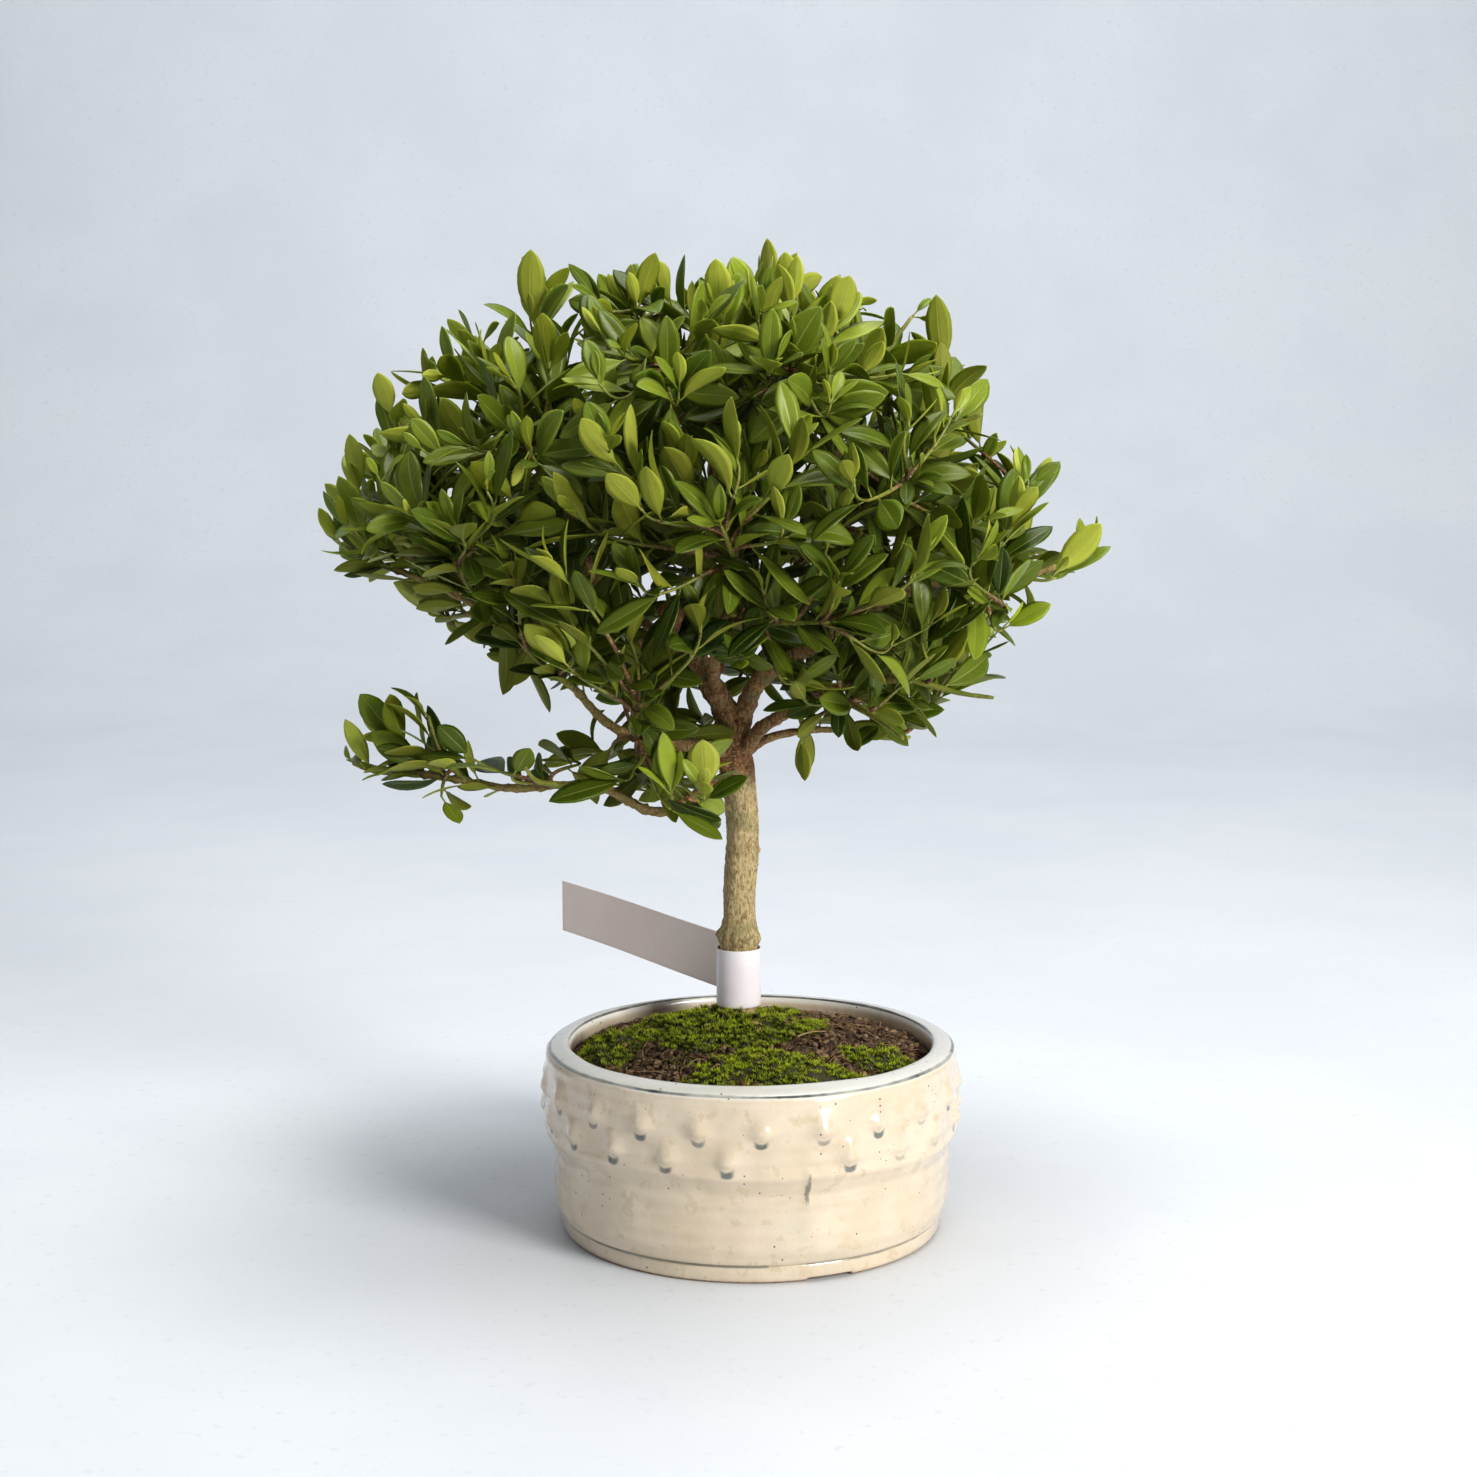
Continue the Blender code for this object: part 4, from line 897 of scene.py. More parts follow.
def bowl_shape(radius, height, azimuth):
    """Moves the bowl's turned points: knobs, throwing rings, an uneven wall, the foot's channels."""
    front = np.degrees(azimuth) + 90
    front = (front + 180) % 360 - 180
    outside = (radius > 0.0795) & (height > 0.0085) & (height < 0.0775)
    points = polar(radius, azimuth, height)
    uneven = 0.00042 * ripple(points, 0.062, 5) + 0.00013 * ripple(points, 0.016, 6)
    rings = 0.00010 * np.sin(height * 2 * np.pi / 0.0062 + 1.2 * np.sin(azimuth))
    # Two soft ledges run round below the knobs, where the wall was pressed in.
    ledge = height - 0.0012 * np.sin(azimuth * 3 + 0.6) - 0.0008 * np.sin(azimuth * 5)
    rings += 0.00100 * np.exp(-((ledge - 0.0450) / 0.0024)**2)
    rings -= 0.00120 * np.exp(-((ledge - 0.0375) / 0.0034)**2)
    rings += 0.00060 * np.exp(-((ledge - 0.0215) / 0.0060)**2)
    rings -= 0.00045 * np.exp(-((height - 0.0100) / 0.0016)**2)
    moved = radius.copy()
    fade = np.clip((height - 0.0085) / 0.004, 0, 1)
    moved += np.where(outside, (uneven + rings) * fade, 0)
    chance = np.random.default_rng(8)
    sizes = chance.uniform(0.78, 1.12, size=(2, 64))
    for row, (first, level, missing) in enumerate(
        ((UPPER_KNOBS, UPPER_KNOB_LEVEL, None), (LOWER_KNOBS, LOWER_KNOB_LEVEL, MISSING_KNOB))
    ):
        number, off = near_turn(front, first, KNOB_PITCH)
        across = np.radians(off) * KNOB_RADIUS / 0.0045
        up = height - level
        up = np.where(up > 0, up / 0.0062, up / 0.0030)
        swell = np.exp(-(across**2 + up**2))
        swell *= sizes[row][number.astype(int) % 64]
        if missing is not None:
            swell = np.where(number == missing, 0, swell)
        moved += np.where(outside, KNOB_HEIGHT * swell, 0)
    drip = np.exp(-(np.radians(front - 14.6) * 0.087 / 0.0011)**2)
    drip *= np.clip((height - 0.030) / 0.004, 0, 1) * np.clip((0.050 - height) / 0.004, 0, 1)
    moved += np.where(outside, 0.0007 * drip, 0)
    rim = (height > 0.0775) & (radius > 0.0765)
    lift = 0.00030 * ripple(points * (1, 1, 0), 0.070, 9)
    high = height + np.where(rim, lift, 0)
    moved += np.where(rim, 0.00025 * ripple(points * (1, 1, 0), 0.050, 10), 0)
    for drain in DRAIN_AZIMUTHS:
        turn = math.radians(drain)
        forward = radius * np.cos(azimuth - turn)
        sideways = radius * np.sin(azimuth - turn)
        inside = (forward > DRAIN_FROM_CENTRE - 0.5 * DRAIN_CHANNEL_WIDTH)
        inside &= (np.abs(sideways) < 0.5 * DRAIN_CHANNEL_WIDTH) & (height < DRAIN_CHANNEL_DEPTH)
        high = np.where(inside, DRAIN_CHANNEL_DEPTH, high)
    return moved, high


def smooth_section(points, spacing):
    return smooth_path([(radius, height, 0) for radius, height in points], spacing)[:, :2]


def make_bowl(glaze):
    inside = smooth_section(BOWL_INSIDE, 0.0022)
    rim = smooth_section(BOWL_RIM, 0.0006)
    outside = smooth_section(BOWL_OUTSIDE, 0.00085)
    foot = smooth_section(BOWL_FOOT[:6], 0.0007)
    under = smooth_section(BOWL_FOOT[5:], 0.0035)
    section = np.vstack([inside[:-1], rim[:-1], outside[:-1], foot[:-1], under])
    heap = Heap()
    turned(heap, section, 440, bowl_shape)
    bowl = piece("glazed_bowl", heap, [glaze], ["pot"])
    for index, azimuth in enumerate(DRAIN_AZIMUTHS):
        turn = math.radians(azimuth)
        drill = Heap()
        top = np.array([DRAIN_FROM_CENTRE * math.cos(turn), DRAIN_FROM_CENTRE * math.sin(turn),
                        0.03])
        tube(drill, np.linspace(top - (0, 0, 0.06), top, 4), DRAIN_RADIUS, 40, (0, 0, 0, 1))
        knife = loose_object(f"drain_{index}", drill)
        cut = bowl.modifiers.new(f"drain_{index}", "BOOLEAN")
        cut.operation = "DIFFERENCE"
        cut.solver = "EXACT"
        cut.object = knife
        apply_modifiers(bowl)
        bpy.data.objects.remove(knife, do_unlink=True)


def loose_object(name, heap):
    """An object of a heap that isn't one of the tree's pieces."""
    mesh = bpy.data.meshes.new(name)
    faces = [tuple(face) for kind in (heap.quads, heap.tris) for face in np.vstack(kind)]
    mesh.from_pydata([tuple(point) for point in np.vstack(heap.points)], [], faces)
    obj = bpy.data.objects.new(name, mesh)
    bpy.context.scene.collection.objects.link(obj)
    return obj


def apply_modifiers(obj):
    graph = bpy.context.evaluated_depsgraph_get()
    mesh = bpy.data.meshes.new_from_object(obj.evaluated_get(graph))
    obj.modifiers.clear()
    obj.data = mesh


# ---------------------------------------------------------------------------------------------
# Soil, litter and moss
# ---------------------------------------------------------------------------------------------


def soil_level(x, y):
    """The height of the soil's mean surface."""
    radii, heights = np.array(SOIL_TOP).T
    return np.interp(np.hypot(x, y), radii, heights)


def off_trunk(x, y):
    return math.hypot(x - TRUNK_FOOT[0], y - TRUNK_FOOT[1])


def moss_wander(places):
    """How far a cushion's edge wanders out or in from its oval here, as a factor."""
    return 1 + 0.20 * ripple(places, 0.022, 31)


def moss_cover(x, y):
    """How deep inside a moss cushion each place is: 0 at its edge and 1 in its middle."""
    deepest = np.full(np.shape(x), -1.0)
    for cx, cy, half_x, half_y, _, _ in MOSS.values():
        place = np.stack([np.asarray(x, float), np.asarray(y, float), np.zeros(np.shape(x))],
                         axis=-1)
        reach = np.hypot((x - cx) / half_x, (y - cy) / half_y) / moss_wander(place)
        deepest = np.maximum(deepest, 1 - reach)
    return deepest


def make_soil(earth):
    def shape(radius, height, azimuth):
        points = polar(radius, azimuth, height)
        top = (height > 0.0730) & (radius < 0.0766)
        lumps = 0.00075 * ripple(points, 0.013, 21) + 0.00055 * ripple(points, 0.0050, 22)
        lumps += 0.00030 * ripple(points, 0.0022, 23)
        edge = np.clip((0.0766 - radius) / 0.003, 0, 1)
        return radius, height + np.where(top, lumps * edge, 0)

    section = np.vstack([smooth_section(SOIL_TOP, 0.0009)[:-1], smooth_section(SOIL_SIDE, 0.006)])
    heap = Heap()
    section[0, 0] = 0
    turned(heap, section, 300, shape, (0.15, 0.35, 0.0, 1.0))
    piece("soil_bed", heap, [earth], ["soil"])


def crumb_shape():
    """The points and faces of a 20-sided ball."""
    golden = (1 + math.sqrt(5)) / 2
    corners = [(0, a, b * golden) for a in (-1, 1) for b in (-1, 1)]
    corners += [(a, b * golden, 0) for a in (-1, 1) for b in (-1, 1)]
    corners += [(b * golden, 0, a) for a in (-1, 1) for b in (-1, 1)]
    corners = unit(np.array(corners, float))
    faces = []
    for i in range(12):
        for j in range(i + 1, 12):
            for k in range(j + 1, 12):
                a, b, c = corners[[i, j, k]]
                if max(np.linalg.norm(a - b), np.linalg.norm(b - c), np.linalg.norm(c - a)) < 1.1:
                    outward = np.cross(b - a, c - a).dot(a + b + c) > 0
                    faces.append((i, j, k) if outward else (i, k, j))
    return corners, np.array(faces)


def scatter(chance, count, far=0.0745):
    """Random places on the soil, inside the bowl's mouth and off the trunk."""
    places = []
    while len(places) < count:
        x, y = chance.uniform(-far, far, 2)
        if math.hypot(x, y) < far and off_trunk(x, y) > 0.010:
            places.append((x, y))
    return np.array(places)


def turn_about_z(angle):
    return np.array([[math.cos(angle), -math.sin(angle), 0], [math.sin(angle), math.cos(angle), 0],
                     [0, 0, 1]])


def make_litter(earth):
    """Crumbs, bark chips, fibres and needles lying on the soil."""
    chance = np.random.default_rng(41)
    heap = Heap()
    ball, ball_faces = crumb_shape()
    for x, y in scatter(chance, 4200):
        cover = moss_cover(x, y)
        if cover > 0.10 and chance.random() > 0.06:
            continue
        size = 0.00040 + 0.0015 * chance.random()**3.0
        stretch = chance.uniform(0.6, 1.4, 3) * (1, 1, 0.75)
        turn = turn_about_z(chance.uniform(0, 2 * np.pi))
        lump = ball * (1 + chance.uniform(-0.22, 0.22, (12, 1))) * stretch * size @ turn.T
        z = soil_level(x, y) + 0.0004 + 0.35 * size + max(cover, 0) * 0.004
        tint = (0.8 * chance.random()**4, chance.random()**1.6, 0.9 * (chance.random() > 0.92), 1)
        heap.add(lump + (x, y, z), [], ball_faces, tint)
    for x, y in scatter(chance, 210, 0.071):
        if moss_cover(x, y) > 0.02:
            continue
        size = chance.uniform(0.0014, 0.0042)
        corners = chance.integers(5, 8)
        angle = np.sort(chance.uniform(0, 2 * np.pi, corners)) * 0.3
        angle = angle + np.linspace(0, 2 * np.pi, corners, endpoint=False) * 0.85
        rim = np.stack([size * np.cos(angle), 0.55 * size * np.sin(angle), np.zeros(corners)],
                       axis=-1)
        rim *= chance.uniform(0.75, 1.1, (corners, 1))
        thick = chance.uniform(0.0002, 0.0005)
        flake = np.vstack([rim + (0, 0, thick), rim - (0, 0, thick), (0, 0, 1.5 * thick),
                           (0, 0, -1.5 * thick)])
        tilt, spin = chance.normal(0, 0.45), chance.uniform(0, 2 * np.pi)
        lean = np.array([[1, 0, 0], [0, math.cos(tilt), -math.sin(tilt)],
                         [0, math.sin(tilt), math.cos(tilt)]])
        flake = flake @ (turn_about_z(spin) @ lean).T
        quads = ring_quads(2, corners)[:, (0, 3, 2, 1)]
        tris = np.vstack([fan(2 * corners, 0, corners),
                          fan(2 * corners + 1, corners, corners)[:, (0, 2, 1)]])
        tint = (0.6 * chance.random()**2, 0.4 + 0.6 * chance.random(), 0.0, 1)
        heap.add(flake + (x, y, soil_level(x, y) + 0.0012), quads[:, ::-1], tris, tint)
    for x, y in scatter(chance, 620, 0.072):
        cover = moss_cover(x, y)
        if cover > 0.12 and chance.random() > 0.08:
            continue
        length = chance.uniform(0.003, 0.011)
        heading = chance.uniform(0, 2 * np.pi)
        bend = chance.normal(0, 0.6)
        steps = np.linspace(-0.5, 0.5, 6)
        turn = heading + bend * steps
        line = np.stack([x + length * steps * np.cos(turn), y + length * steps * np.sin(turn),
                         np.zeros(6)], axis=-1)
        rise = chance.uniform(0.0004, 0.0020)
        line[:, 2] = soil_level(line[:, 0], line[:, 1]) + 0.0009 + rise * (1 - 4 * steps**2)
        line[:, 2] += chance.normal(0, 0.0012) * steps + max(cover, 0) * 0.004
        thick = chance.uniform(0.00009, 0.00022)
        tint = (0.4 * chance.random(), 0.7, 0.25 + 0.75 * chance.random(), 1)
        tube(heap, line, thick, 4, tint)
    for start, end, lift, thick in (
        ((0.0195, -0.0185), (0.0320, -0.0080), 0.0028, 0.00042),
        ((0.0080, 0.0050), (0.0200, 0.0020), 0.0024, 0.00026),
        ((0.0420, 0.0100), (0.0540, 0.0010), 0.0020, 0.00030),
        ((-0.0480, -0.0440), (-0.0330, -0.0520), 0.0018, 0.00026),
    ):
        steps = np.linspace(0, 1, 12)[:, None]
        line = np.hstack([(1 - steps) * start + steps * end, np.zeros((12, 1))])
        line[:, 2] = soil_level(line[:, 0], line[:, 1]) + lift
        line[:, 2] += 0.0008 * np.sin(np.pi * steps[:, 0])
        tube(heap, line, thick * (1 - 0.5 * steps[:, 0]), 7, (0.55, 1.0, 0.95, 1))
    piece("soil_litter", heap, [earth], [])


def moss_height(x, y, cushion):
    """The height of a cushion's own surface."""
    cx, cy, half_x, half_y, low, top = cushion
    place = np.stack([x, y, np.zeros(np.shape(x))], axis=-1)
    reach = np.clip(np.hypot((x - cx) / half_x, (y - cy) / half_y) / moss_wander(place), 0, 1)
    swell = 1 - reach**2.6
    ground = soil_level(x, y)
    rise = np.clip(top - 0.0009 - np.minimum(ground, top - 0.0030), 0.0026, 0.0060)
    lumps = 0.0011 * ripple(place, 0.010, 32) + 0.0017 * ripple(place, 0.0055, 33)
    return ground + (0.62 * rise + lumps) * swell - 0.0006 * (1 - swell)


MOSS_MOUTH = 0.0755
MOSS_SPACING = 0.00178
# Painted light on each cushion: lighter on the front and right ones, darker on the centre and left
# ones, which lie in shade.
MOSS_PAINTED_LIGHT = {"moss_front": 0.78, "moss_right": 0.90, "moss_centre": 0.42, "moss_left": 0.30}
BROWN_MOSS = ("moss_left", "moss_centre")


def make_moss(green):
    """Every cushion: a lumpy skin, and tufts of three-sided blades all over it."""
    chance = np.random.default_rng(51)
    for name, cushion in MOSS.items():
        cx, cy, half_x, half_y, _, _ = cushion
        heap = Heap()
        rows, around = 26, 90
        azimuth = 2 * np.pi * np.arange(around) / around
        share = (np.arange(1, rows + 1) / rows)[:, None]
        far = np.stack([cx + half_x * np.cos(azimuth), cy + half_y * np.sin(azimuth),
                        np.zeros(around)], axis=-1)
        wander = moss_wander(far)
        x = cx + share * half_x * np.cos(azimuth) * wander
        y = cy + share * half_y * np.sin(azimuth) * wander
        inside = np.minimum(1, MOSS_MOUTH / np.maximum(np.hypot(x, y), 1e-6))
        x, y = x * inside, y * inside
        skin = np.stack([x, y, moss_height(x, y, cushion)], axis=-1)
        floor = skin[-1] - (0, 0, 0.0035)
        points = np.vstack([skin.reshape(-1, 3), floor,
                            (cx, cy, moss_height(np.array(cx), np.array(cy), cushion)),
                            (cx, cy, soil_level(cx, cy) - 0.0035)])
        quads = ring_quads(rows + 1, around)[:, (0, 3, 2, 1)]
        middle = (rows + 1) * around
        tris = [fan(middle, 0, around), fan(middle + 1, rows * around, around)[:, (0, 2, 1)]]
        heap.add(points, quads, np.vstack(tris), (0.0, 0.3, 0.35, 1))
        xs = np.arange(cx - 1.25 * half_x, cx + 1.25 * half_x, MOSS_SPACING)
        ys = np.arange(cy - 1.25 * half_y, cy + 1.25 * half_y, MOSS_SPACING)
        for x, y in np.stack(np.meshgrid(xs, ys), axis=-1).reshape(-1, 2):
            x += chance.uniform(-0.6, 0.6) * MOSS_SPACING
            y += chance.uniform(-0.6, 0.6) * MOSS_SPACING
            spot = np.array([x, y, 0])
            reach = math.hypot((x - cx) / half_x, (y - cy) / half_y) / float(moss_wander(spot))
            thin = float(ripple(spot, 0.009, 34))
            if reach > 1.0 or math.hypot(x, y) > MOSS_MOUTH or thin > 1.15 + 0.9 * (1 - reach):
                continue
            if off_trunk(x, y) < 0.0098:
                continue
            z = float(moss_height(np.array(x), np.array(y), cushion))
            # Each tuft's tone: its cushion's painted light, painted light on the lumps (the same
            # ripple that raises them), random mottle and chance.
            tone_and_painted_light = MOSS_PAINTED_LIGHT[name] + (0.30 * float(ripple(spot, 0.010, 35))
                                       + 0.30 * float(ripple(spot, 0.0055, 33)))
            tone_and_painted_light += chance.normal(0, 0.16)
            tone_and_painted_light = float(np.clip(tone_and_painted_light, 0.0, 1.15))
            brown = max(0.0, 0.35 * float(ripple(spot, 0.007, 36)) - 0.15) * (name in BROWN_MOSS)
            blades = chance.integers(7, 10)
            length = chance.uniform(0.0022, 0.0038) * (1 - 0.25 * reach)
            spin = chance.uniform(0, 2 * np.pi)
            for blade in range(blades):
                turn = spin + 2.4 * blade
                lean = chance.uniform(0.25, 1.05)
                flat = np.array([math.cos(turn), math.sin(turn), 0])
                out = np.array([*(flat[:2] * math.sin(lean)), math.cos(lean)])
                side = np.array([-math.sin(turn), math.cos(turn), 0]) * 0.00037
                base = np.array([x, y, z - 0.0002])
                keel = base + 0.45 * length * out - 0.00022 * flat
                tip = base + length * chance.uniform(0.75, 1.1) * out
                blade_points = np.array([base - side, base + side, keel, tip])
                tints = [(up, tone_and_painted_light, brown, 1) for up in (0.1, 0.1, 0.5, 1.0)]
                heap.add(blade_points, [], [(0, 1, 2), (0, 3, 1), (1, 3, 2), (0, 2, 3)], tints)
        piece(name + "_cushion", heap, [green], [name], smooth=False)


# ---------------------------------------------------------------------------------------------
# The label
# ---------------------------------------------------------------------------------------------


def make_label(paper):
    """A strip that winds once round the trunk's foot and leaves it as a straight tail."""
    leave = LABEL_TAIL_AZIMUTH - 0.5 * math.pi
    share = np.linspace(0, 1, 97)
    angle = leave - 2 * math.pi * LABEL_TURNS * (1 - share)
    radius = LABEL_RADIUS + LABEL_OVERLAP * share
    wound = np.stack([TRUNK_FOOT[0] + radius * np.cos(angle),
                      TRUNK_FOOT[1] + radius * np.sin(angle)], axis=-1)
    heading = np.array([math.cos(LABEL_TAIL_AZIMUTH), math.sin(LABEL_TAIL_AZIMUTH)])
    across = np.array([-heading[1], heading[0]])
    reach = np.linspace(0, 1, 61)[1:, None]
    tail = wound[-1] + LABEL_TAIL * reach * heading
    tail = tail + 0.0010 * np.sin(2.2 * np.pi * reach) * reach * across
    line = np.vstack([wound, tail])
    line = np.hstack([line, np.zeros((len(line), 1))])
    tangents = unit(np.gradient(line, axis=0))
    outward = np.cross(tangents, (0, 0, 1.0))
    half = 0.5 * LABEL_THICKNESS
    edge = 0.5 * LABEL_WIDTH
    lip = 0.00009
    profile = [
        (half, -edge + 0.0006), (half, edge - 0.0006), (half, edge - lip), (half - lip, edge),
        (-half + lip, edge), (-half, edge - lip), (-half, edge - 0.0006), (-half, -edge + 0.0006),
        (-half, -edge + lip), (-half + lip, -edge), (half - lip, -edge), (half, -edge + lip),
    ]
    sides = len(profile)
    rings = len(line)
    middle = LABEL_BOTTOM + edge
    points = [line[index] + out * outward[index] + (0, 0, middle + up)
              for index in range(rings) for out, up in profile]
    quads = ring_quads(rings, sides)[:, (0, 3, 2, 1)]
    first = np.arange(1, sides - 1)
    end = (rings - 1) * sides
    caps = np.vstack([
        np.stack([np.zeros_like(first), first, first + 1], axis=-1),
        np.stack([np.full_like(first, end), end + first + 1, end + first], axis=-1)])
    heap = Heap()
    share = np.clip((np.arange(rings) - len(wound) + 1) / 3, 0, 1)
    tints = np.repeat(np.stack([share, share, share, np.ones(rings)], axis=-1), sides, axis=0)
    heap.add(points, quads, caps, tints)
    piece("label_loop", heap, [paper], ["label"])


# ---------------------------------------------------------------------------------------------
# Trunk and limbs
# ---------------------------------------------------------------------------------------------


def make_trunk(bark):
    rings = smooth_path(TRUNK, 0.0011)
    path, radii = rings[:, :3], rings[:, 3]
    sides = 72
    around = around_path(path, sides)
    skin = path[:, None] + radii[:, None, None] * around
    level = skin[..., 2]
    swell = 0.00032 * ripple(skin * (1, 1, 0.35), 0.010, 61) + 0.00016 * ripple(skin, 0.0030, 62)
    swell += 0.00010 * ripple(skin, 0.0014, 63)
    # A knobbly ring of old buds just above the label, with one round bud scar in front.
    burl = np.exp(-((level - 0.1195) / 0.0030)**2)
    azimuth = np.arctan2(around[..., 1], around[..., 0])
    swell += burl * (0.00080 + 0.00060 * np.sin(9 * azimuth + 0.8) * np.sin(4 * azimuth))
    for place, size, proud in (
        ((-0.0055, 0.0158, 0.1228), 0.0024, 0.0020), ((-0.0136, 0.0240, 0.1215), 0.0020, 0.0015),
        ((0.0032, 0.0200, 0.1190), 0.0016, 0.0008), ((0.0035, 0.0205, 0.1588), 0.0015, 0.0010),
        ((-0.0110, 0.0170, 0.1780), 0.0020, 0.0014), ((-0.0020, 0.0138, 0.1440), 0.0013, 0.0005),
        ((-0.0100, 0.0300, 0.1520), 0.0022, 0.0012), ((0.0020, 0.0270, 0.1730), 0.0020, 0.0010),
    ):
        off = np.linalg.norm(skin - np.array(place), axis=-1) / size
        swell += proud * (np.exp(-off**2) - 0.55 * np.exp(-(off / 0.42)**2))
    swell += 0.00035 * np.exp(-((level - 0.1590) / 0.0011)**2)
    skin = skin + swell[..., None] * around
    joint = np.clip((level - 0.178) / 0.022, 0, 1) * 0.75 + 0.35 * burl
    heap = Heap()
    tube(heap, path, radii, sides, (0, 0, 0, 1))
    heap.points[0] = np.vstack([skin.reshape(-1, 3), heap.points[0][-2:]])
    tints = np.stack([joint, 0 * joint, joint, np.ones_like(joint)], axis=-1).reshape(-1, 4)
    heap.tints[0] = np.vstack([tints, tints[:1], tints[-1:]])
    piece("trunk_wood", heap, [bark], ["trunk"])


def limb_path(name):
    return smooth_path(LIMBS[name][2], 0.0012)


def make_limbs(bark, chance):
    """Tapered limbs with a collar at the base, ring scars, and short cut stubs at the fork."""
    solids = []
    for number, (name, (base, tip, _)) in enumerate(LIMBS.items()):
        path = limb_path(name)
        lengths = lengths_along(path)
        share = lengths / lengths[-1]
        radii = base + (tip - base) * share
        if name == "limb_lower_left":
            radii = np.interp(share, (0, 0.12, 0.22, 0.5, 1),
                              (base, 0.0030, 0.0021, 0.0017, 0.0013))
        radii = radii + 0.30 * base * np.exp(-lengths / 0.010)
        joint = 0.30 + 0.45 * np.exp(-lengths / 0.014)
        place = chance.uniform(0.006, 0.012)
        while place < lengths[-1] - 0.004:
            scar = np.exp(-((lengths - place) / 0.0011)**2)
            radii = radii + 0.13 * base * scar
            joint = joint + 0.35 * scar
            place += chance.uniform(0.009, 0.017)
        if name == "limb_leader":
            joint = np.maximum(joint, np.clip((share - 0.6) / 0.3, 0, 0.95))
            radii = radii * (1 + 0.10 * np.exp(-((share - 0.97) / 0.05)**2))
        young = np.clip((share - 0.35) / 0.5, 0, 1) * (0.85 if base < 0.0050 else 0)
        if name == "limb_lower_left":
            young = np.clip((share - 0.20) / 0.25, 0, 1)
        tints = np.stack([joint, young, joint, np.ones_like(joint)], axis=-1)
        heap = Heap()
        sides = 28 if base > 0.0035 else 18
        tube(heap, path, radii, sides, tints, 0, 0.065 * base, 0.0040, 70 + number)
        solids.append((path, radii))
        if name == "limb_leader":
            stub = smooth_path([(-0.026, 0.0115, 0.248), (-0.0262, 0.0105, 0.258),
                                (-0.0245, 0.0100, 0.2695)], 0.0012)
            up = np.linspace(0, 1, len(stub))
            wide = 0.0036 + 0.0006 * np.linspace(1, 0, len(stub)) + 0.0004 * up**6
            tube(heap, stub, wide, 22, (0.9, 0.0, 0.9, 1), 0, 0.00030, 0.0036, 91)
            solids.append((stub, wide))
        if name in ("limb_left", "limb_lower_left"):
            foot = along(path, 0.42)
            cut_end = foot + np.array([-0.003, -0.003, 0.008])
            stub = np.linspace(foot, cut_end, 8)
            tube(heap, stub, 0.0013, 12, (0.85, 0.0, 0.8, 1), 0, 0.00012, 0.003, 95)
        piece(name + "_wood", heap, [bark], [name])
    return solids


# ---------------------------------------------------------------------------------------------
# Leaves and sprays
# ---------------------------------------------------------------------------------------------

# Stations along a leaf: two on its stalk, then the blade from its foot to near its tip.
BLADE = np.array([0.0, 0.05, 0.13, 0.24, 0.36, 0.48, 0.60, 0.71, 0.81, 0.90, 0.965])
ACROSS = np.array([-1.0, -0.62, -0.20, 0.0, 0.20, 0.62, 1.0])
STALK = 0.0030
LEAF_LENGTH = 0.0268
FRESH_STEPS = 20.0


def leaf_points(length, width, fold, droop, sway, twist, cup):
    """A leaf lying along X with its upper face to +Z: (stations, places around, 3) and its tip."""
    shape = BLADE**0.86 * (1 - BLADE)**0.76
    shape = shape / (0.531**0.86 * 0.469**0.76)
    half = np.maximum(0.5 * width * shape, 0.00042)
    half *= 1 + 0.018 * np.sin(BLADE * 37 + 5 * sway)
    fine = np.linspace(0, 1, 41)
    pitch = -droop * fine**1.5 + 0.10 * droop
    yaw = sway * fine
    steps = (np.cos(pitch) * np.cos(yaw), np.sin(yaw), np.sin(pitch) * np.cos(yaw))
    runs = [np.concatenate([[0], np.cumsum(step[:-1])]) * length / 40 for step in steps]
    spine = np.stack([np.interp(BLADE, fine, run) for run in runs], axis=-1)
    spine[:, 0] += STALK
    slope = np.interp(BLADE, fine, pitch)
    up = np.stack([-np.sin(slope), np.zeros_like(slope), np.cos(slope)], axis=-1)
    roll = twist * BLADE
    side = np.stack([-np.sin(np.interp(BLADE, fine, yaw)), np.cos(roll), np.sin(roll)], axis=-1)
    side = unit(side)
    up = unit(up - (up * side).sum(axis=-1, keepdims=True) * side)
    open_up = fold * (1 - 0.5 * BLADE)[:, None]
    u = ACROSS[None, :]
    lift = half[:, None] * (np.abs(u)**1.25 * np.sin(open_up) - cup * np.abs(u)**3.2)
    wide = half[:, None] * u * np.cos(open_up)
    middle = spine[:, None] + wide[..., None] * side[:, None] + lift[..., None] * up[:, None]
    thick = 0.00013 * np.sqrt(np.maximum(1 - u**2, 0)) + 0.00002
    rib = 0.00026 * np.exp(-(u / 0.16)**2) * (1 - 0.75 * BLADE)[:, None]
    top = middle[:, 1:-1] + thick[..., 1:-1, None] * up[:, None]
    below = middle[:, -2:0:-1] - (thick[..., -2:0:-1] + rib[:, -2:0:-1])[..., None] * up[:, None]
    rings = np.concatenate([middle[:, :1], top, middle[:, -1:], below], axis=1)
    stalk = rings[0] - spine[0]
    start = np.stack([stalk * (0.6, 0.9, 1.4), stalk * (0.6, 1.0, 1.2) + (0.55 * STALK, 0, 0)])
    rings = np.concatenate([start, rings])
    tip = spine[-1] + unit(spine[-1] - spine[-2]) * 0.045 * length
    return rings, tip, middle


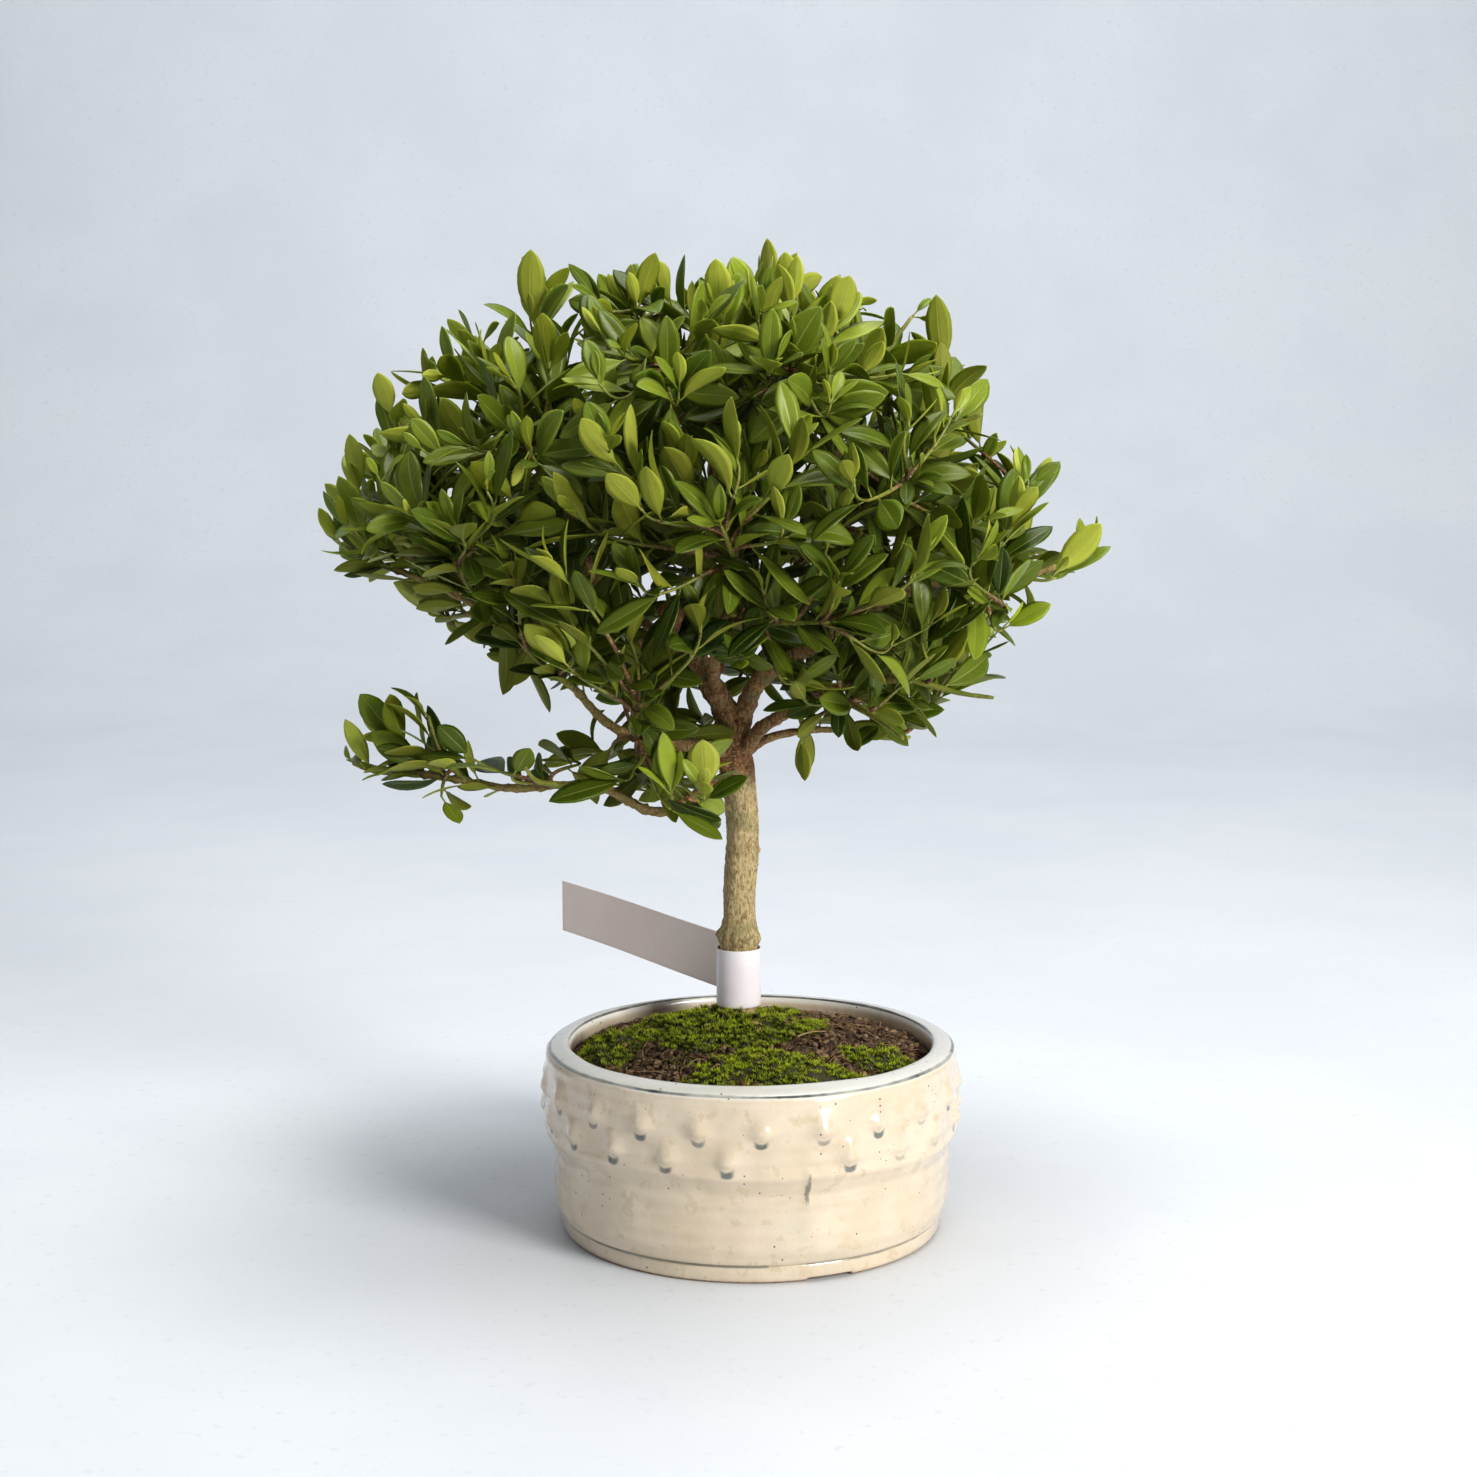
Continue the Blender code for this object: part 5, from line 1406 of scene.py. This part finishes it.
def leaf_faces():
    """The faces of any leaf, and its points' places along and across it, and its side."""
    stations, places = len(BLADE) + 2, 2 * len(ACROSS) - 2
    quads = ring_quads(stations, places)[:, ::-1]
    size = stations * places
    tris = np.vstack([fan(size, size - places, places)[:, (0, 2, 1)], fan(size + 1, 0, places)])
    share = np.concatenate([[0.0, 0.0], BLADE])
    u = np.concatenate([ACROSS, ACROSS[-2:0:-1]])
    side = np.concatenate([[0.5], np.zeros(len(ACROSS) - 2), [0.5], np.ones(len(ACROSS) - 2)])
    place_along = np.concatenate([np.repeat(share, places), [1.0, 0.0]])
    place_across = np.concatenate([np.tile(0.5 + 0.5 * u, stations), [0.5, 0.5]])
    face_side = np.concatenate([np.tile(side, stations), [0.5, 0.5]])
    return quads, tris, place_along, place_across, face_side


LEAF_QUADS, LEAF_TRIS, LEAF_ALONG, LEAF_ACROSS, LEAF_SIDE = leaf_faces()
# The flat plate that stands for a leaf in the tests: every second station, and three points across.
PLATE_ROWS = (0, 2, 4, 6, 8, 10)
PLATE_FACES = [(3 * row + column, 3 * row + column + 1, 3 * row + column + 4, 3 * row + column + 3)
               for row in range(len(PLATE_ROWS) - 1) for column in range(2)]


class Foliage:
    """The leaves placed so far, so that no new leaf cuts through one of them or through wood."""

    def __init__(self, cell=0.030):
        self.cell = cell
        self.cells = {}
        self.wood = []

    def keys(self, low, high):
        first = np.floor(low / self.cell).astype(int)
        last = np.floor(high / self.cell).astype(int)
        for i in range(first[0], last[0] + 1):
            for j in range(first[1], last[1] + 1):
                for k in range(first[2], last[2] + 1):
                    yield (i, j, k)

    def clear(self, low, high, tree):
        seen = set()
        for key in self.keys(low, high):
            for number, other_low, other_high, other in self.cells.get(key, ()):
                if number in seen:
                    continue
                seen.add(number)
                if (low > other_high).any() or (other_low > high).any():
                    continue
                if tree.overlap(other):
                    return False
        return True

    def keep(self, low, high, tree):
        number = id(tree)
        for key in self.keys(low, high):
            self.cells.setdefault(key, []).append((number, low, high, tree))


def inside_edge(points):
    """Whether each point is inside the crown's edge as seen from the front, and how far from it."""
    points = np.asarray(points, float).reshape(-1, 3)
    pull = EYE_DISTANCE / (EYE_DISTANCE + points[:, 1])
    x = EYE[0] + (points[:, 0] - EYE[0]) * pull
    z = EYE[2] + (points[:, 2] - EYE[2]) * pull
    edge = np.array(CROWN_EDGE)
    following = np.roll(edge, -1, axis=0)
    x, z = x[:, None], z[:, None]
    straddles = (edge[:, 1] > z) != (following[:, 1] > z)
    rise = np.where(following[:, 1] == edge[:, 1], 1e-9, following[:, 1] - edge[:, 1])
    crossing = edge[:, 0] + (z - edge[:, 1]) * (following[:, 0] - edge[:, 0]) / rise
    inside = (straddles & (x < crossing)).sum(axis=1) % 2 == 1
    stretch = following - edge
    share = (x - edge[:, 0]) * stretch[:, 0] + (z - edge[:, 1]) * stretch[:, 1]
    share = np.clip(share / (stretch**2).sum(axis=1), 0, 1)
    far = np.hypot(x - edge[:, 0] - share * stretch[:, 0], z - edge[:, 1] - share * stretch[:, 1])
    return inside, far.min(axis=1)


def room_around(points):
    """How deep inside the crown each point is, in metres. It is negative outside."""
    points = np.asarray(points, float).reshape(-1, 3)
    inside, far = inside_edge(points)
    round_off = 1 - (1 - np.minimum(far / 0.085, 1))**2
    depth = CROWN_HALF_DEPTH * np.sqrt(np.maximum(round_off, 0))
    low = np.clip((points[:, 2] - 0.165) / 0.075, 0.25, 1)
    depth = depth * (0.45 + 0.55 * low)
    room = np.minimum(far, depth - np.abs(points[:, 1] - CROWN_DEPTH_MIDDLE))
    return np.where(inside, room, -far)


def grow_leaf(heap, foliage, chance, foot, out, face, length, width, fresh, force=False,
              shape=None):
    """Tries some turns and sizes of one leaf until it is clear of all others."""
    for attempt in range(7):
        wobble = 0.10 + 0.09 * attempt
        if force and attempt == 0:
            wobble = 0.0
        x_axis = unit(out + wobble * chance.normal(size=3) * 0.6)
        z_axis = face + (0.0 if force else 0.28) * chance.normal(size=3)
        z_axis = unit(z_axis - z_axis.dot(x_axis) * x_axis)
        y_axis = np.cross(z_axis, x_axis)
        size = 1 - 0.05 * attempt
        fold, droop, sway, twist, cup = shape or (
            chance.uniform(0.15, 0.60), chance.normal(0.42 - 0.42 * fresh, 0.30),
            chance.normal(0, 0.10), chance.normal(0, 0.25), chance.uniform(0.04, 0.16))
        rings, tip, middle = leaf_points(size * length, size * width, fold, droop, sway, twist, cup)
        axes = np.stack([x_axis, y_axis, z_axis])
        plate = middle[list(PLATE_ROWS)][:, (0, 3, 6)].reshape(-1, 3) @ axes + foot
        end = tip @ axes + foot
        if not force:
            if room_around(end)[0] < -0.0015 or room_around(plate[9:12]).min() < -0.002:
                continue
            if kept_open([end, plate[7], plate[10]]):
                continue
        low = plate.min(axis=0) - 0.0003
        high = plate.max(axis=0) + 0.0003
        tree = BVHTree.FromPolygons(plate.tolist(), PLATE_FACES)
        if not foliage.clear(low, high, tree) and not (force and attempt == 6):
            continue
        if any(tree.overlap(wood) for wood in foliage.wood):
            continue
        foliage.keep(low, high, tree)
        points = np.vstack([rings.reshape(-1, 3), tip, rings[0].mean(axis=0)]) @ axes + foot
        tone = chance.uniform(0.02, 0.98)
        packed = np.full(len(points), round(FRESH_STEPS * fresh) + tone)
        tints = np.stack([LEAF_ALONG, LEAF_ACROSS, packed, LEAF_SIDE], axis=-1)
        heap.add(points, LEAF_QUADS, LEAF_TRIS, tints)
        return


def grow_shoot(heap, foliage, chance, path, thick, leafy, fresh, dense=1.0, small=1.0, top=False,
               stem=True):
    """A stem along the path, with leaves in a spiral on its last stretch and small ones at its end.

    top says that the end leaf is already there, and stem=False that the wood is.
    """
    lengths = lengths_along(path)
    total = lengths[-1]
    share = lengths / total
    radii = thick * (1 - 0.50 * share)
    woody = np.clip(1.0 - (lengths - (total - leafy)) / (0.55 * leafy), 0, 1) * 0.9
    tints = np.stack([woody, np.full_like(woody, chance.random()), woody, np.ones_like(woody)],
                     axis=-1)
    if stem:
        tube(heap, path, radii, 8, tints, 1, 0.06 * thick, 0.002, int(chance.integers(1, 9999)))
    tangents = unit(np.gradient(path, axis=0))
    spin = chance.uniform(0, 2 * np.pi)
    place = max(total - leafy, 0.006)
    number = 0
    up = np.array([0, 0, 1.0])
    while place < total - 0.0012:
        point = at_length(path, lengths, place)
        axis = unit(np.array([np.interp(place, lengths, tangents[:, k]) for k in range(3)]))
        across = unit(np.cross(axis, up if abs(axis[2]) < 0.9 else np.array([0, 1.0, 0])))
        rise = np.cross(axis, across)
        turn = spin + GOLDEN_ANGLE * number + chance.normal(0, 0.15)
        radial = math.cos(turn) * across + math.sin(turn) * rise
        ripeness = 1 - (total - place) / leafy
        open_angle = math.radians(68 - 40 * ripeness**1.2 + chance.normal(0, 7))
        out = math.cos(open_angle) * axis + math.sin(open_angle) * radial
        face = math.sin(open_angle) * axis - math.cos(open_angle) * radial
        level = 1 - abs(axis[2])
        out = unit(out + (0.20 * level + 0.32 * fresh * ripeness) * up)
        face = unit(face + (0.9 * level + 0.25) * up)
        size = chance.uniform(0.88, 1.10) * (0.80 + 0.20 * min(1, 3 * ripeness + 0.3))
        if ripeness > 0.86:
            size *= 0.82
        length = LEAF_LENGTH * small * size
        width = length * (chance.uniform(0.35, 0.48) + 0.05 * fresh)
        seat = 0.3 if stem else 0.95
        grow_leaf(heap, foliage, chance, point + seat * thick * radial, out, face, length, width,
                  float(np.clip(fresh * (0.55 + 0.60 * ripeness) + chance.normal(0, 0.10), 0, 1)))
        place += chance.uniform(0.0040, 0.0056) / dense * (1 - 0.25 * ripeness)
        number += 1
    end = path[-1]
    heading = tangents[-1]
    across = unit(np.cross(heading, (0.1, 1.0, 0.05)))
    rise = np.cross(heading, across)
    for turn in range(3):
        if top and turn == 0:
            continue
        angle = spin + GOLDEN_ANGLE * (number + turn)
        radial = math.cos(angle) * across + math.sin(angle) * rise
        open_angle = math.radians(chance.uniform(12, 34))
        out = math.cos(open_angle) * heading + math.sin(open_angle) * radial
        face = unit(math.sin(open_angle) * heading - math.cos(open_angle) * radial + 0.2 * up)
        size = chance.uniform(0.45, 0.85)
        grow_leaf(heap, foliage, chance, end, out, face, 0.0250 * size, 0.0100 * size,
                  float(np.clip(fresh + chance.uniform(0.0, 0.25), 0, 1)))


def stem_of_spray(number, limb_paths):
    """The main stem of a spray, from its limb's centre line to the CAD stem's end."""
    limb, fraction, tip = SPRAYS[number]
    path = limb_paths[limb]
    lengths = lengths_along(path)
    start = at_length(path, lengths, fraction * lengths[-1])
    before = at_length(path, lengths, max(fraction * lengths[-1] - 0.004, 0))
    after = at_length(path, lengths, min(fraction * lengths[-1] + 0.004, lengths[-1]))
    heading = unit(after - before)
    tip = np.array(tip)
    reach = np.linalg.norm(tip - start)
    middle = start + 0.5 * (tip - start) + 0.10 * reach * heading
    middle[2] -= 0.06 * reach
    return smooth_path([start, middle, tip], 0.0022)


def outward(point):
    """The way a shoot at this place grows: away from the fork and up to the light."""
    away = (point - FORK) * (1.15, 0.80, 0.55)
    lift = 0.085 * np.clip((point[2] - 0.195) / 0.060, 0.25, 1)
    return unit(away + (0, 0, lift))


def kept_open(points):
    """Whether any of these points hides the fork, which shows its bare limbs in front."""
    x, y, z = np.asarray(points, float).reshape(-1, 3).T
    fork = (x > -0.034) & (x < 0.010) & (z > 0.226) & (z < 0.248)
    beside = (x > -0.074) & (x < -0.048) & (z > 0.206) & (z < 0.236)
    right = (x > 0.002) & (x < 0.018) & (z > 0.196) & (z < 0.214)
    return bool(((fork | beside | right) & (y < 0.008)).any())


def freshness(point, room):
    """New growth is at the top, at both ends and on the outside."""
    high = np.clip((point[2] - 0.27) / 0.14, 0, 1)
    right = np.clip((point[0] - 0.06) / 0.08, 0, 1)
    left = np.clip((-0.10 - point[0]) / 0.06, 0, 1)
    outside = np.clip(1 - room / 0.050, 0, 1)
    return float(np.clip(0.08 + 0.44 * high + 0.36 * right + 0.16 * left + 0.20 * outside, 0, 1))


LOW_BRANCH_SPRAY = 16


def make_crown(leaf, shoot, limb_solids):
    """Grows every spray: its main stem, and side shoots spread evenly through the outer crown."""
    chance = np.random.default_rng(CROWN_SEED)
    limb_paths = {name: limb_path(name) for name in LIMBS}
    foliage = Foliage()
    for path, radii in limb_solids:
        heap = Heap()
        step = max(1, len(path) // 14)
        keep = sorted(set(range(0, len(path), step)) | {len(path) - 1})
        tube(heap, path[keep], np.asarray(radii)[keep], 6, (0, 0, 0, 1))
        faces = [tuple(face) for face in np.vstack(heap.quads)]
        foliage.wood.append(BVHTree.FromPolygons(np.vstack(heap.points).tolist(), faces))
    heaps = [Heap() for _ in SPRAYS]
    stems = [stem_of_spray(number, limb_paths) for number in range(len(SPRAYS))]
    joints = []
    for number, path in enumerate(stems):
        tangents = unit(np.gradient(path, axis=0))
        for index in range(3, len(path) - 2, 2):
            joints.append((path[index], tangents[index], number))

    def nearest_joint(end, heading, shortest, longest):
        best, best_cost = None, 1e9
        for point, tangent, number in joints:
            reach = end - point
            far = np.linalg.norm(reach)
            if not shortest < far < longest:
                continue
            cost = far * (1 + 0.9 * (1 - tangent.dot(reach) / far)
                          + 0.5 * (1 - heading.dot(reach) / far))
            if cost < best_cost:
                best, best_cost = (point, tangent, number), cost
        return best

    ends = []
    for foot, tip, ratio, face, fresh in LEADING_LEAVES:
        foot, tip, face = np.array(foot), np.array(tip), np.array(face)
        heading = unit(tip - foot)
        stem_end = foot - 0.0005 * heading
        grows = unit(heading + 0.5 * outward(foot))
        joint = nearest_joint(stem_end, grows, 0.012, 0.110)
        if joint is None:
            continue
        start, tangent, number = joint
        path = bent(start, unit(tangent + unit(stem_end - start)), stem_end, grows, 18)
        length = np.linalg.norm(tip - foot)
        grow_leaf(heaps[number], foliage, chance, foot, heading, face, length - STALK,
                  ratio * length, fresh, True, (0.22, 0.12, 0.03, 0.05, 0.08))
        grow_shoot(heaps[number], foliage, chance, path, 0.00105,
                   min(0.034, 0.8 * np.linalg.norm(stem_end - start)), fresh, 0.9, top=True)
        ends.append(stem_end)
    for number, path in enumerate(stems):
        end = path[-1]
        room = room_around(end)[0]
        grow_shoot(heaps[number], foliage, chance, path, 0.0015, 0.050, freshness(end, room))
        ends.append(end)
    low = limb_paths["limb_lower_left"]
    outer = low[int(0.52 * len(low)):] + (0, 0, 0.0004)
    grow_shoot(heaps[LOW_BRANCH_SPRAY], foliage, chance, outer, 0.0016, 0.094, 0.35, 1.50, 0.62,
               stem=False)
    for name, number, first, thick in (
        ("limb_right_twig", 27, 0.45, 0.0015), ("limb_lower_right", 25, 0.55, 0.0020),
        ("limb_left", 14, 0.60, 0.0020), ("limb_left_long", 10, 0.50, 0.0018),
        ("limb_right", 19, 0.55, 0.0022), ("limb_right_upright", 22, 0.35, 0.0018),
        ("limb_left_upright", 6, 0.40, 0.0018), ("limb_top", 0, 0.45, 0.0020),
    ):
        line = limb_paths[name]
        line = line[int(first * len(line)):]
        grow_shoot(heaps[number], foliage, chance, line, thick, 0.95 * lengths_along(line)[-1],
                   0.25, 0.55, 0.85, stem=False)
    tries = chance.uniform((-0.184, -0.130, 0.166), (0.150, 0.130, 0.416), size=(26000, 3))
    rooms = room_around(tries)
    for point, room in zip(tries, rooms):
        if room < 0.013 or (room > 0.052 and chance.random() > 0.06):
            continue
        over_trunk = abs(point[0] + 0.008) < 0.022 and abs(point[1]) < 0.05 and point[2] < 0.236
        if kept_open(point) or over_trunk:
            continue
        if point[0] < -0.085 and point[2] < 0.236:
            continue
        apart = (0.0215 if room < 0.032 else 0.0290) + 0.0030 * (point[2] < 0.280)
        if np.linalg.norm(np.array(ends) - point, axis=1).min() < apart:
            continue
        heading = unit(outward(point) + 0.22 * chance.normal(size=3))
        joint = nearest_joint(point, heading, 0.014, 0.085)
        if joint is None:
            continue
        start, tangent, number = joint
        reach = np.linalg.norm(point - start)
        path = bent(start, unit(tangent + 1.2 * unit(point - start)), point, heading, 16)
        fresh = freshness(point, room)
        leafy = min(0.85 * reach, 0.044)
        grow_shoot(heaps[number], foliage, chance, path, 0.0010, leafy, fresh)
        ends.append(point)
    for number, heap in enumerate(heaps):
        piece(f"leafy_spray_{number + 1:02d}", heap, [leaf, shoot],
              [f"spray_{number + 1:02d}"])


# ---------------------------------------------------------------------------------------------
# Room, light and camera
# ---------------------------------------------------------------------------------------------


FLOOR_HALF_WIDTH = 6.0
FLOOR_FRONT = -4.0
FLOOR_BACK = 1.6
COVE_RADIUS = 1.2
COVE_STEPS = 16
WALL_TOP = 5.0


def make_room():
    """A pale floor that curves up into a wall behind the tree."""
    line = [(FLOOR_FRONT, 0.0), (FLOOR_BACK, 0.0)]
    for step in range(1, COVE_STEPS + 1):
        angle = 0.5 * math.pi * step / COVE_STEPS
        line.append((FLOOR_BACK + COVE_RADIUS * math.sin(angle),
                     COVE_RADIUS - COVE_RADIUS * math.cos(angle)))
    line.append((FLOOR_BACK + COVE_RADIUS, WALL_TOP))
    points = [(x, y, z) for y, z in line for x in (-FLOOR_HALF_WIDTH, FLOOR_HALF_WIDTH)]
    quads = [(2 * k, 2 * k + 1, 2 * k + 3, 2 * k + 2) for k in range(len(line) - 1)]
    mesh = bpy.data.meshes.new("studio_floor")
    mesh.from_pydata(points, [], quads)
    floor = bpy.data.objects.new("studio_floor", mesh)
    mesh.polygons.foreach_set("use_smooth", [True] * len(quads))
    mesh.materials.append(floor_finish())
    bpy.context.scene.collection.objects.link(floor)


def area_light(name, place, target, size, power, tone):
    data = bpy.data.lights.new(name, "AREA")
    data.shape = "RECTANGLE"
    data.size, data.size_y = size
    data.energy = power
    data.color = tone
    lamp = bpy.data.objects.new(name, data)
    lamp.location = place
    lamp.rotation_euler = (Vector(target) - Vector(place)).to_track_quat("-Z", "Y").to_euler()
    bpy.context.scene.collection.objects.link(lamp)


def make_light():
    aim = (0.0, 0.0, 0.22)
    area_light("key_window", (1.45, -1.45, 0.85), aim, (0.8, 0.8), 41.0, (1.0, 0.985, 0.95))
    area_light("left_window", (-1.5, -0.7, 0.8), aim, (0.9, 1.1), 2.4, (0.97, 0.985, 1.0))
    area_light("top_panel", (0.1, -0.1, 1.8), aim, (1.0, 1.0), 19.0, (1.0, 1.0, 1.0))
    area_light("wall_wash", (0.0, 1.5, 2.6), (0.0, 3.0, 0.6), (3.4, 1.2), 30.0, (0.93, 0.96, 1.0))
    world = bpy.data.worlds.new("studio_air")
    bpy.context.scene.world = world
    world.use_nodes = True
    background = world.node_tree.nodes["Background"]
    background.inputs["Color"].default_value = (0.88, 0.93, 1.0, 1)
    background.inputs["Strength"].default_value = 0.20
    bpy.context.scene.view_settings.view_transform = "Standard"
    bpy.context.scene.view_settings.look = "Medium High Contrast"


def make_camera():
    data = bpy.data.cameras.new("camera")
    data.sensor_width = SENSOR_WIDTH
    data.lens = FOCAL_LENGTH
    data.clip_start = 0.05
    camera = bpy.data.objects.new("camera", data)
    camera.location = EYE
    camera.rotation_euler = (0.5 * math.pi - EYE_PITCH, 0, 0)
    bpy.context.scene.collection.objects.link(camera)
    bpy.context.scene.camera = camera


def main():
    make_camera()
    make_light()
    make_room()
    bark = bark_finish("trunk_bark", color(0.43, 0.31, 0.14), color(0.265, 0.190, 0.080),
                       color(0.50, 0.40, 0.22))
    limb_bark = bark_finish("limb_bark", color(0.31, 0.170, 0.065), color(0.175, 0.095, 0.038),
                            color(0.46, 0.31, 0.15))
    make_bowl(glaze_finish())
    earth = soil_finish()
    make_soil(earth)
    make_litter(earth)
    make_moss(moss_finish())
    make_label(paper_finish())
    make_trunk(bark)
    chance = np.random.default_rng(64)
    solids = make_limbs(limb_bark, chance)
    make_crown(leaf_finish(), shoot_finish(), solids)
    screen = screen_finish()
    for number in (1, 2, 3):
        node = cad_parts[f"drain_screen_{number}"]
        for slot in node.material_slots:
            slot.material = screen


main()
